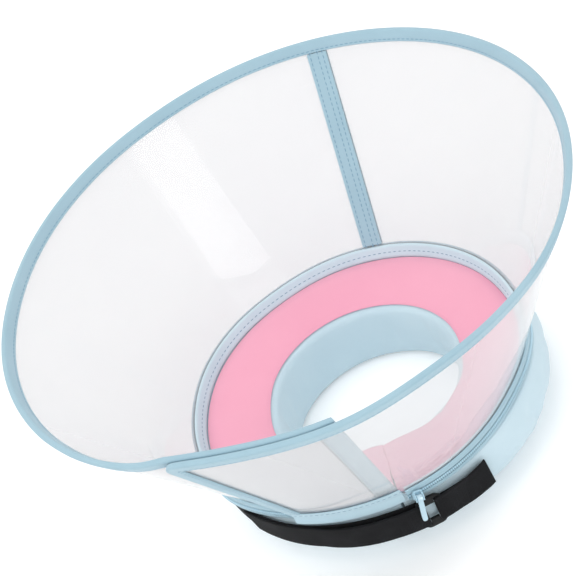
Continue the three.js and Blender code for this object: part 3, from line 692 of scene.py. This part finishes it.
def filled(thing, free):
    """Inflates the cushion as cloth under pressure and keeps each move within its limit."""
    scene = bpy.context.scene
    start = spots_of(thing.data)
    held = thing.vertex_groups.new(name="held")
    for index in np.flatnonzero(free < HELD_UNDER):
        held.add([int(index)], 1.0, "REPLACE")
    skin = thing.modifiers.new("cloth", "CLOTH")
    settings = skin.settings
    settings.quality = 5
    settings.mass = 0.25
    settings.tension_stiffness = settings.compression_stiffness = 8
    settings.shear_stiffness = 4
    settings.bending_stiffness = 0.3
    settings.use_pressure = True
    settings.uniform_pressure_force = 4.0
    settings.shrink_min = -0.03
    settings.vertex_group_mass = "held"
    settings.effector_weights.gravity = 0
    skin.collision_settings.use_collision = False
    skin.point_cache.frame_start, skin.point_cache.frame_end = 1, SIM_FRAMES
    for moment in range(1, SIM_FRAMES + 1):
        scene.frame_set(moment)
    graph = bpy.context.evaluated_depsgraph_get()
    swollen = spots_of(thing.evaluated_get(graph).to_mesh())
    thing.evaluated_get(graph).to_mesh_clear()
    thing.modifiers.clear()
    scene.frame_set(1)
    move = swollen - start
    far = np.linalg.norm(move, axis=1)
    limit = free * MM
    soft = limit * np.tanh(far / np.maximum(limit, 1e-9))
    kept = start + move * (soft / np.maximum(far, 1e-9))[:, None]
    thing.data.vertices.foreach_set("co", kept.ravel())
    thing.data.update()


def make_ring():
    first, last = SPLIT_TURN + SPLIT_HALF, SPLIT_TURN + 360 - SPLIT_HALF
    turns = np.concatenate([
        [first + step for step in END_STEPS],
        np.linspace(first + END_RUN, last - END_RUN, RING_STEPS),
        [last - step for step in END_STEPS[::-1]]])
    rings = np.array([ring_rows(turn) for turn in turns])
    cushion = sweep("ring_cushion", rings)
    free = np.array([ring_freedom(spot, turn) for ring, turn in zip(rings, turns) for spot in ring])
    free = free.reshape(len(turns), -1)
    for _ in range(3):
        free = np.minimum(free, (np.roll(free, 1, 1) + free + np.roll(free, -1, 1)) / 3 + 0.01)
        inner = (free[:-2] + free[1:-1] + free[2:]) / 3
        free[1:-1] = np.minimum(free[1:-1], inner + 0.01)
    free[[0, -1]] = 0.0
    filled(cushion, free.ravel())
    grid = spots_of(cushion.data).reshape(len(turns), -1, 3) / MM - RING_AXIS
    return cushion, grid


def grid_normals(grid):
    """Outward directions of the padded ring's surface points."""
    around = np.gradient(grid, axis=0)
    across = np.roll(grid, -1, 1) - np.roll(grid, 1, 1)
    out = unit(np.cross(around, across))
    middle = grid.mean(axis=1, keepdims=True)
    return out * np.sign(np.einsum("ijk,ijk->", out, grid - middle))


cushion, ring_grid = make_ring()
ring_out = grid_normals(ring_grid)
soften(cushion)
dress(cushion, PALE_BLUE, "pale_blue_cloth", "donut_cushion")

# Pink top cloth: the ring's own surface, a little above it, from the hole to the neck band
TOP_ROWS = slice(0, 9)
TOP_LOW, TOP_HIGH = 0.25, 1.15      # its two faces, above the ring's surface


def make_top():
    grid, out = ring_grid[:, TOP_ROWS], ring_out[:, TOP_ROWS]
    under, over = grid + out * TOP_LOW, grid + out * TOP_HIGH
    return sweep("top_cloth", np.concatenate([under, over[:, ::-1]], axis=1), 80)


top_cloth = dress(soften(make_top()), PINK, "pink_cloth", "top_panel")

# ---------------------------------------------------------------- clear sheets

SHEET_TOP = CONE_SLANT - BINDING_WALL - CLEARANCE
FLAP_FOOT = 0.6
TRIM_FOOT = LEG_TOP * math.tan(CONE_TILT) + CLEARANCE
BINDING_LEG = BINDING_WIDTH - BINDING_WALL - CLEARANCE
INNER_LEG = INNER_END_WIDTH - BINDING_WALL - CLEARANCE
FLAP_EDGE = FLAP_END + span_at(BINDING_WALL + CLEARANCE, FLAP_END, CONE_SLANT / 2)
INNER_EDGE = INNER_END - span_at(BINDING_WALL + CLEARANCE, INNER_END, CONE_SLANT / 2)


def flap_corner(steps):
    """Outer flap's rounded corner: spots on its edge and the outward direction at each."""
    rows = []
    for angle in np.radians(np.linspace(90, 0, steps)):
        away = -math.cos(angle), math.sin(angle)
        spot = moved((FLAP_EDGE, SHEET_TOP), CORNER_RADIUS * (1 + away[0]),
                     CORNER_RADIUS * (away[1] - 1))
        rows.append((spot, away))
    return rows


def sheet_ring(turn, foot, top):
    shares = np.linspace(foot, top, 15)
    outer = [cone_point(turn, along, SHEET_WALL / 2) for along in shares]
    inner = [cone_point(turn, along, -SHEET_WALL / 2) for along in shares[::-1]]
    return outer + inner


def sheet_rings(start, stop):
    return [sheet_ring(turn, FLAP_FOOT if turn < ZIP_START - 1 else -SHEET_DROP, SHEET_TOP)
            for turn in stations(start, stop)]


seam_half = math.degrees((BINDING_WALL / 2 + CLEARANCE) / NECK_RADIUS)
corner_rows = flap_corner(7)
corner_rings = [sheet_ring(spot[0], FLAP_FOOT, spot[1]) for spot, _ in corner_rows[1:]][::-1]
right_sheet = sweep("cone_sheet_right", corner_rings + sheet_rings(
    corner_rows[0][0][0], BACK_SEAM - seam_half))
dress(right_sheet, VINYL, "clear_sheet", "cone_panel_right")
left_sheet = sweep("cone_sheet_left", sheet_rings(BACK_SEAM + seam_half, INNER_EDGE))
dress(left_sheet, VINYL, "clear_sheet", "cone_panel_left")

# ---------------------------------------------------------------- folded binding

# Section of the folded binding from one leg's end to the fold: reach share, lift share
TRIM_SECTION = [
    (0.000, 0.48), (0.010, 0.80), (0.060, 0.95), (0.130, 0.93), (0.185, 0.84), (0.240, 0.94),
    (0.450, 1.00), (0.750, 1.00), (0.900, 0.96), (0.970, 0.78), (1.000, 0.35),
]


def leg_spot(edge, away, inner, share):
    """Spot on the binding's leg, from its inner line (0) to its fold (1)."""
    fold = moved(edge, away[0] * (CLEARANCE + BINDING_WALL), away[1] * (CLEARANCE + BINDING_WALL))
    return inner[0] + (fold[0] - inner[0]) * share, inner[1] + (fold[1] - inner[1]) * share


def trim_ring(edge, away, inner):
    """Ring of the binding's section at a spot on the sheet's edge."""
    slot = moved(edge, away[0] * CLEARANCE, away[1] * CLEARANCE)

    def spot(share, offset):
        return cone_point(*leg_spot(edge, away, inner, share), offset)

    upper = [spot(share, LEG_TOP * lift) for share, lift in TRIM_SECTION]
    lower = [spot(share, -LEG_TOP * lift) for share, lift in TRIM_SECTION[::-1]]
    inside = [cone_point(*inner, -LEG_OFFSET * 0.9), cone_point(*slot, -LEG_OFFSET),
              cone_point(*slot, LEG_OFFSET), cone_point(*inner, LEG_OFFSET * 0.9)]
    return upper + lower + inside


def trim_course():
    """Spots along the bound edge from the inner end, over the rim, to the outer flap's foot."""
    top = SHEET_TOP - BINDING_LEG
    rows = []
    inner_top = (INNER_EDGE, SHEET_TOP)
    inner_heel = moved(inner_top, -INNER_LEG, -BINDING_LEG)
    for share in np.linspace(0, 1, 24):
        edge = (INNER_EDGE, TRIM_FOOT + (top - TRIM_FOOT) * share)
        rows.append((edge, (1, 0), moved(edge, -INNER_LEG, 0)))
    rows.append((inner_top, (1, 1), inner_heel))
    flap_heel = moved((FLAP_EDGE, SHEET_TOP), BINDING_LEG, -BINDING_LEG)
    for turn in stations(flap_heel[0], inner_heel[0])[::-1]:
        rows.append(((turn, SHEET_TOP), (0, 1), (turn, top)))
    rows += [(spot, away, flap_heel) for spot, away in flap_corner(9)]
    for share in np.linspace(0, 1, 24):
        edge = (FLAP_EDGE, top + (FLAP_BAND_RISE + CLEARANCE - top) * share)
        rows.append((edge, (-1, 0), moved(edge, BINDING_LEG, 0)))
    return rows


trim_rows = trim_course()
rim_trim = sweep("rim_trim", [trim_ring(*row) for row in trim_rows], 50)
dress(rim_trim, BINDING, "blue_binding", "edge_binding")


def split_at_corner(rows):
    """Binding rows in three runs, without the spots where the inner line stands still."""
    return [[row for row in rows if row[1] == away] for away in ((1, 0), (0, 1), (-1, 0))]


TRIM_DIP, TRIM_LIFT = 0.185, 0.86   # where the binding's section dips under its stitches
trim_paths = [cone_path([leg_spot(*row, TRIM_DIP) for row in run], side * LEG_TOP * TRIM_LIFT)
              for run in split_at_corner(trim_rows) for side in (1, -1)]
stitches("trim_stitches", trim_paths)

# ---------------------------------------------------------------- seam tape

SEAM_SECTION = [   # side share of the half width, lift share of the leg's height
    (-1.00, 0.50), (-0.97, 0.85), (-0.80, 0.97), (-0.62, 0.95), (-0.30, 1.00), (-0.12, 0.94),
    (0.10, 1.00), (0.45, 1.00), (0.66, 0.93), (0.82, 0.97), (0.97, 0.85), (1.00, 0.50),
]


def seam_ring(along):
    """Ring of the seam tape: two legs and the web between the sheets."""
    wide = SEAM_WIDTH / 2
    web = BINDING_WALL / 2

    def spot(side, out):
        return cone_point(BACK_SEAM + span_at(side, BACK_SEAM, along), along, out)

    def slot(sign):
        return [spot(sign * side, sign * out) for side, out in (
            (wide * 0.99, LEG_OFFSET), (web, LEG_OFFSET), (web, -LEG_OFFSET),
            (wide * 0.99, -LEG_OFFSET))]

    upper = [spot(wide * side, LEG_TOP * lift) for side, lift in SEAM_SECTION]
    lower = [spot(wide * side, -LEG_TOP * lift) for side, lift in SEAM_SECTION[::-1]]
    return upper + slot(1) + lower + slot(-1)


seam_top = SHEET_TOP - BINDING_LEG - CLEARANCE
seam_run = np.linspace(TRIM_FOOT, seam_top, 30)
seam_trim = sweep("seam_trim", [seam_ring(along) for along in seam_run], 50)
dress(seam_trim, BINDING, "blue_binding", "back_seam_tape")


SEAM_LINES = (-3.7, -0.7, 3.9)      # places of the tape's stitch lines, from its middle
SEAM_LIFT = LEG_TOP * 0.94
seam_paths = [cone_path([(BACK_SEAM + span_at(side, BACK_SEAM, a), a) for a in seam_run], out)
              for side in SEAM_LINES for out in (SEAM_LIFT, -SEAM_LIFT)]
stitches("seam_stitches", seam_paths)

# ---------------------------------------------------------------- bands and closure panel

ZIP_END = SPLIT_TURN + 360 - math.degrees(ZIP_END_GAP / NECK_RADIUS)
BAND_IN = LEG_OFFSET + NECK_BAND_WALL


def neck_ring(turn):
    """Neck band: flat against the sheet, its inner side softly rounded with a stitch dip."""
    inner = [(-0.02, 0.55), (-0.10, 0.92), (-0.25, 1.00), (-0.55, 0.86), (-0.75, 1.00),
             (-0.93, 0.90), (-1.00, 0.50)]
    back = [cone_point(turn, -NECK_BAND_DROP * share, -LEG_OFFSET) for share in (1, 0.5, 0)]
    front = [cone_point(turn, NECK_BAND_DROP * share, -LEG_OFFSET - NECK_BAND_WALL * lift)
             for share, lift in inner]
    return back + front


neck_turns = stations(ZIP_START, ZIP_END)
neck_cloth = sweep("neck_cloth", [neck_ring(turn) for turn in neck_turns], 50)
dress(neck_cloth, BAND, "blue_binding", "neck_band")
neck_line = cone_path([(turn, -NECK_BAND_DROP * 0.55) for turn in neck_turns], -BAND_IN + 0.2)
stitches("neck_stitches", [neck_line], 3.2, 2.2)

FLAP_BAND_LOW = NECK_HEIGHT - FLAP_BAND_DROP


def flap_ring(turn):
    """Outer flap's band: over the sheet's edge, a soft bend, then straight down."""
    def drop(out, height):
        return neck_point(turn, TAPE_OFFSET + out, FLAP_BAND_LOW + height)
    outer = [cone_point(turn, FLAP_BAND_RISE, LEG_OFFSET + 0.4),
             cone_point(turn, FLAP_BAND_RISE - 0.3, LEG_TOP * 0.95),
             cone_point(turn, FLAP_BAND_RISE * 0.6, LEG_TOP),
             cone_point(turn, FLAP_BAND_RISE * 0.25, LEG_TOP),
             cone_point(turn, CLEARANCE, LEG_TOP), drop(TAPE_WALL, 3.8), drop(TAPE_WALL, 1.0),
             drop(TAPE_WALL * 0.85, 0.2), drop(TAPE_WALL * 0.5, 0)]
    inner = [drop(0, 0.3), drop(0, 3.8), cone_point(turn, CLEARANCE, LEG_OFFSET)]
    return outer + inner


flap_turns = stations(FLAP_END, ZIP_START - 1.1)
flap_cloth = sweep("flap_cloth", [flap_ring(turn) for turn in flap_turns], 50)
dress(flap_cloth, FLAP_BINDING_PAINTED_LIGHTER, "blue_binding", "flap_band")
flap_line = cone_path([(turn, FLAP_BAND_RISE * 0.55) for turn in flap_turns], LEG_TOP)
stitches("flap_stitches", [flap_line])


# Crease of the white panel: place, slant, width and depth, and the shares it runs between
CREASE_AT, CREASE_SLANT, CREASE_WIDTH, CREASE_DEPTH = 18, 55, 1.6, 0.5
CREASE_FROM, CREASE_TO = 0.45, 0.96


def make_closure():
    """White panel between the layers, with one slanting crease."""
    low = FLAP_BAND_RISE + PAD_MARGIN
    high = SHEET_TOP - BINDING_LEG - PAD_MARGIN
    heights = np.linspace(low, high, 44)
    near, far = LEG_OFFSET, LAYER_GAP - LEG_OFFSET
    rings = []
    for share in np.linspace(0, 1, 26):
        thick = 0.9 if share in (0, 1) else 1.0

        def spot(along, out):
            left = FLAP_EDGE + span_at(BINDING_LEG + PAD_MARGIN, FLAP_END, along)
            right = INNER_EDGE - 360 - span_at(INNER_LEG + PAD_MARGIN, INNER_END, along)
            return cone_point(360 + left + (right - left) * share, along, out)

        def outside(along):
            end = min(along - low, high - along)
            off = along - CREASE_AT - CREASE_SLANT * (1 - share)
            crease = math.exp(-(off / CREASE_WIDTH) ** 2) * CREASE_DEPTH
            body = (far - near) * thick * min(1.0, 0.9 + 0.1 * end)
            return spot(along, near + body - (crease if CREASE_FROM < share < CREASE_TO else 0))

        rings.append([spot(along, near) for along in heights]
                     + [outside(along) for along in heights[::-1]])
    return sweep("closure_pad", rings, 60)


closure_pad = dress(make_closure(), PANEL, "white_hook_and_loop", "closure_panel")

# ---------------------------------------------------------------- zipper

COIL_HEIGHT = NECK_HEIGHT - COIL_DROP
COIL_OUT = TAPE_OFFSET + TAPE_WALL / 2
COIL_RISE = COIL_RADIUS * math.sqrt(3) / 2
zip_turns = stations(ZIP_START, ZIP_END)


def tape_ring(turn, low, high):
    """Zipper tape section with rounded edges and a faint raised cord."""
    rows = [(0.5, 0.0), (0.9, 0.08), (1.0, 0.25), (0.9, 0.45), (1.0, 0.65), (0.95, 0.90),
            (0.5, 1.0), (0.0, 0.95), (0.0, 0.5), (0.0, 0.05)]
    return [neck_point(turn, TAPE_OFFSET + TAPE_WALL * out, low + (high - low) * up)
            for out, up in rows]


upper_low = COIL_HEIGHT + COIL_RISE + CLEARANCE
lower_high = COIL_HEIGHT - COIL_RISE - CLEARANCE
for label, cad_node, low, high in (
    ("zip_tape_top", "zipper_tape_upper", upper_low, upper_low + UPPER_TAPE_WIDTH),
    ("zip_tape_low", "zipper_tape_lower", lower_high - LOWER_TAPE_WIDTH, lower_high),
):
    tape = sweep(label, [tape_ring(turn, low, high) for turn in zip_turns], 60)
    dress(tape, BINDING, "blue_binding", cad_node)

coil_core = sweep("zip_core", [[neck_point(
    turn, COIL_OUT + 0.55 * math.cos(a), COIL_HEIGHT + 0.8 * math.sin(a))
    for a in np.linspace(0, 2 * math.pi, 9)[:-1]] for turn in zip_turns], 60)
dress(coil_core, BINDING, "blue_coil", "zipper_coil")


def teeth_path(height, out):
    points = np.array([neck_point(turn, out, COIL_HEIGHT + height) for turn in zip_turns])
    return points, np.tile((0.0, 0.0, 1.0), (len(points), 1)), unit(points * (1, 1, 0))


teeth_paths = [teeth_path(height, COIL_OUT + 0.45) for height in (0.42, -0.42)]
zip_teeth = small_parts("zip_teeth", teeth_paths, TEETH, 1.25, 1.5, 0.62, 1.1, 0.0)
dress(zip_teeth, TEETH, "blue_coil")

dress(clean_copy("zip_slider", "slider_body", 0.25), SLIDER_BLUE, "blue_enamel", "zip_slider")
dress(clean_copy("zip_pull", "pull_leaf", 0.3), ENAMEL, "blue_enamel", "zip_pull")

# ---------------------------------------------------------------- webbing and its ring

def strap_line(turn):
    """Radius of the webbing's inner face."""
    return outer_at(turn - 360 if turn > INNER_END else turn) + STRAP_RISE


def strap_seen(turn):
    return turn - 360 if turn > 180 else turn


def slope_share(turn):
    return (strap_seen(turn) - SLOPE_FROM) / (SLOPE_TO - SLOPE_FROM)


def strap_foot_at(turn):
    return STRAP_FOOT + (TAB_FOOT - STRAP_FOOT) * min(max(slope_share(turn), 0), 1)


SLOPE = (STRAP_FOOT - TAB_FOOT) / (
    math.radians(SLOPE_TO - SLOPE_FROM) * (DONUT_RADIUS + STRAP_RISE))


def strap_point(turn, radius, up):
    """Point of the webbing: up is the share of its width from the lower edge."""
    lean = math.degrees(STRAP_WIDTH * SLOPE / 2 / radius) if 0 < slope_share(turn) < 1 else 0
    drawn = STRAP_DRAW * min((TAB_END - strap_seen(turn)) / DRAW_FADE, 1)
    return at(turn + lean * (2 * up - 1), radius - drawn * (1 - up),
              strap_foot_at(turn) + STRAP_WIDTH * up)


ring_in = strap_line(360 + RING_TURN) + STRAP_WALL + CLEARANCE
bar_middle = ring_in + RING_DEPTH / 2
bar_front = bar_middle + RING_DEPTH / 2 + CLEARANCE
bar_side = math.degrees((RING_WIDTH - RING_BAR) / 2 / DONUT_RADIUS)
fold_depth = RING_DEPTH / 2 + CLEARANCE + STRAP_WALL / 2
fold_side = math.degrees((RING_BAR / 2 + CLEARANCE + STRAP_WALL / 2) / DONUT_RADIUS)


FOLD_SWEEP = 80             # degrees the webbing turns to each side of a bar's middle


def fold_course(bar, direction):
    """Middle of the webbing round one bar, as rows of turn and radius."""
    rows = []
    for angle in np.radians(np.linspace(-FOLD_SWEEP, FOLD_SWEEP, 9)):
        reach = abs(math.cos(angle)) ** 0.45 * fold_side
        depth = math.copysign(abs(math.sin(angle)) ** 0.6, angle) * fold_depth
        rows.append((bar + direction * reach, bar_middle + depth))
    return rows


def strap_course():
    left_bar = 360 + RING_TURN - bar_side
    layer = STRAP_WALL + CLEARANCE
    back = [(turn, strap_line(turn) + STRAP_WALL / 2)
            for turn in stations(STRAP_END, left_bar - 1)]
    front = []
    for turn in stations(STRAP_FOLD_END, left_bar - 1)[::-1]:
        near = strap_line(turn) + layer
        t = min(max((turn - STRAP_SPLIT) / (left_bar - STRAP_SPLIT), 0), 1)
        front.append((turn, near + (bar_front - near) * t * (2 - t) + STRAP_WALL / 2))
    return back + fold_course(left_bar, 1) + front


def tab_course():
    right_bar = RING_TURN + bar_side
    back = [(turn, strap_line(turn) + STRAP_WALL / 2, HIDDEN_CUT)
            for turn in stations(TAB_FOLD_END, right_bar + 1)]
    front = []
    for turn in stations(right_bar + 1, TAB_END):
        near = strap_line(turn) + CLEARANCE
        t = min(max((TAB_END - turn) / (TAB_END - right_bar), 0), 1)
        front.append((turn, near + (bar_front - near) * math.sqrt(t) + STRAP_WALL / 2))
    fold = fold_course(right_bar, -1)
    cuts = np.linspace(HIDDEN_CUT, 0, len(fold))
    return back + [(*spot, cut) for spot, cut in zip(fold, cuts)] + front


WEB_SECTION = [   # up share, thickness share: a flat band with rounded selvedges
    (0.000, 0.0), (0.012, 0.7), (0.045, 0.95), (0.10, 0.9), (0.16, 1.0), (0.33, 0.97),
    (0.50, 1.0), (0.67, 0.97), (0.84, 1.0), (0.90, 0.9), (0.955, 0.95), (0.988, 0.7), (1.0, 0.0),
]
WEB_SECTION += [(up, -thick) for up, thick in WEB_SECTION[-2:0:-1]]


def webbing_rings(course):
    plan = np.array([at(turn, radius, 0) for turn, radius, *_ in course])
    tangent = unit(np.gradient(plan, axis=0))
    side = np.stack([tangent[:, 1], -tangent[:, 0], tangent[:, 2]], axis=1)
    rings = []
    for (turn, radius, *cut), out in zip(course, side):
        kept = 1 - cut[0] if cut else 1
        rings.append([strap_point(turn, radius, up * kept) + out * STRAP_WALL / 2 * thick
                      for up, thick in WEB_SECTION])
    return rings


for label, course, cad_node in (("strap_webbing", strap_course(), "closure_strap"),
                                ("tab_webbing", tab_course(), "strap_tab")):
    dress(sweep(label, webbing_rings(course), 60), WEBBING, "black_webbing", cad_node)


# How far the plastic ring's bars, top, foot and tongues are filled out past the plain ring
BAR_FILL, TOP_FILL, FOOT_FILL, TONGUE_FILL = 0.5, 0.5, 0.9, 0.25
CROSS_RISE = 0.9            # past the webbing's edges, a spot is on a crosspiece
TONGUE_HALF = 2.6


def ring_axes():
    """Middle of the plastic ring and its directions along the webbing and up."""
    outward = at(RING_TURN, 1, 0)
    along = np.array([-outward[1], outward[0], 0])
    lean, draw = math.atan(SLOPE), math.atan(STRAP_DRAW / STRAP_WIDTH)
    side = along * math.cos(lean) - UP * math.sin(lean)
    rise = along * math.sin(lean) + UP * math.cos(lean)
    top = rise * math.cos(draw) + outward * math.sin(draw)
    middle = at(RING_TURN, ring_in - STRAP_DRAW / 2, strap_foot_at(RING_TURN) + STRAP_WIDTH / 2)
    return middle, side, top


def make_ring_frame():
    """Plastic ring with soft edges, full corners and tongues close to the webbing."""
    ring = clean_copy("strap_ring", "ring_frame", 0.45, 3)
    middle, side, top = ring_axes()
    for spot in ring.data.vertices:
        place = np.array(spot.co) / MM - RING_AXIS - middle
        across, high = place @ side, place @ top
        move = np.zeros(3)
        if abs(across) > RING_WIDTH / 2 - RING_BAR / 2:
            move += side * math.copysign(BAR_FILL, across)
        if abs(high) > STRAP_WIDTH / 2 + CROSS_RISE:
            move += top * (TOP_FILL if high > 0 else -FOOT_FILL)
        elif abs(across) < TONGUE_HALF:
            move += side * math.copysign(TONGUE_FILL, across)
        spot.co = (np.array(spot.co) + move * MM)
    return ring


dress(make_ring_frame(), BLACK_PLASTIC, "black_plastic", "strap_ring")

# ---------------------------------------------------------------- floor, light, camera

def floor():
    """Pale floor that glows a little, so that the shadow on it stays faint."""
    mesh = bpy.data.meshes.new("floor")
    mesh.from_pydata([(-6, -6, 0), (6, -6, 0), (6, 6, 0), (-6, 6, 0)], [], [(0, 1, 2, 3)])
    made, tree, shader, place = bare_material("pale floor", "Generated")
    tone = mixed(tree, "RGBA", noise(tree, place, 2.0), srgb(250, 250, 250), srgb(252, 252, 252))
    fed(tree, shader, {"Base Color": tone, "Roughness": 0.9, "Specular IOR Level": 0.1,
                       "Emission Color": (1, 1, 1, 1), "Emission Strength": 0.12})
    thing = new_object("floor", mesh)
    mesh.materials.append(made)


def lamp(name, spot, aim, size, power, size_y=None):
    light = bpy.data.lights.new(name, "AREA")
    light.energy = power
    light.size = size
    if size_y:
        light.shape = "RECTANGLE"
        light.size_y = size_y
    thing = new_object(name, light)
    thing.location = spot
    thing.rotation_euler = (Vector(aim) - Vector(spot)).to_track_quat("-Z", "Y").to_euler()
    return thing


def studio():
    world = bpy.data.worlds.new("studio")
    world.use_nodes = True
    tree = world.node_tree
    fed(tree, tree.nodes["Background"], {"Color": (1, 1, 1, 1), "Strength": 0.89})
    scene = bpy.context.scene
    scene.world = world
    scene.view_settings.view_transform = "Standard"
    lamp("overhead softbox", (-0.2, 0.1, 1.5), (0, 0, 0.05), 1.2, 5.9)
    lamp("left softbox", (-1.3, -0.6, 1.1), (0, 0, 0.08), 0.8, 3.3)
    lamp("front fill", (0.7, -1.4, 0.8), (0, 0, 0.05), 0.7, 3.5)
    streak = lamp("streak light", (0.48, -1.18, 0.61), (-0.03, 0.12, 0.1), 0.62, 8.5, 0.72)
    streak.visible_diffuse = False      # shows in the film without lighting the cloth


# Camera fitted to the photograph: angles, and its place from a point above the floor
CAMERA_DOWN, CAMERA_ROLL = 38.873, -30.364
CAMERA_AIM, CAMERA_BACK, CAMERA_SIDE, CAMERA_HEAD = 48, 1099.1, -36.4, 44.9


def camera():
    """Camera at the photograph's angle: rolled and looking down at the front."""
    down, roll = math.radians(CAMERA_DOWN), math.radians(CAMERA_ROLL)
    back = Vector((0, -math.cos(down), math.sin(down)))
    right, up = Vector((1, 0, 0)), Vector((0, math.sin(down), math.cos(down)))
    side = right * math.cos(roll) + up * math.sin(roll)
    head = up * math.cos(roll) - right * math.sin(roll)
    spot = Vector((0, 0, CAMERA_AIM)) + back * CAMERA_BACK + side * CAMERA_SIDE + head * CAMERA_HEAD
    data = bpy.data.cameras.new("camera")
    data.lens, data.sensor_width = 125, 36
    thing = new_object("camera", data)
    turned = Matrix((side, head, back)).transposed().to_4x4()
    turned.translation = (spot + Vector(RING_AXIS)) * MM
    thing.matrix_world = turned
    bpy.context.scene.camera = thing


floor()
studio()
camera()
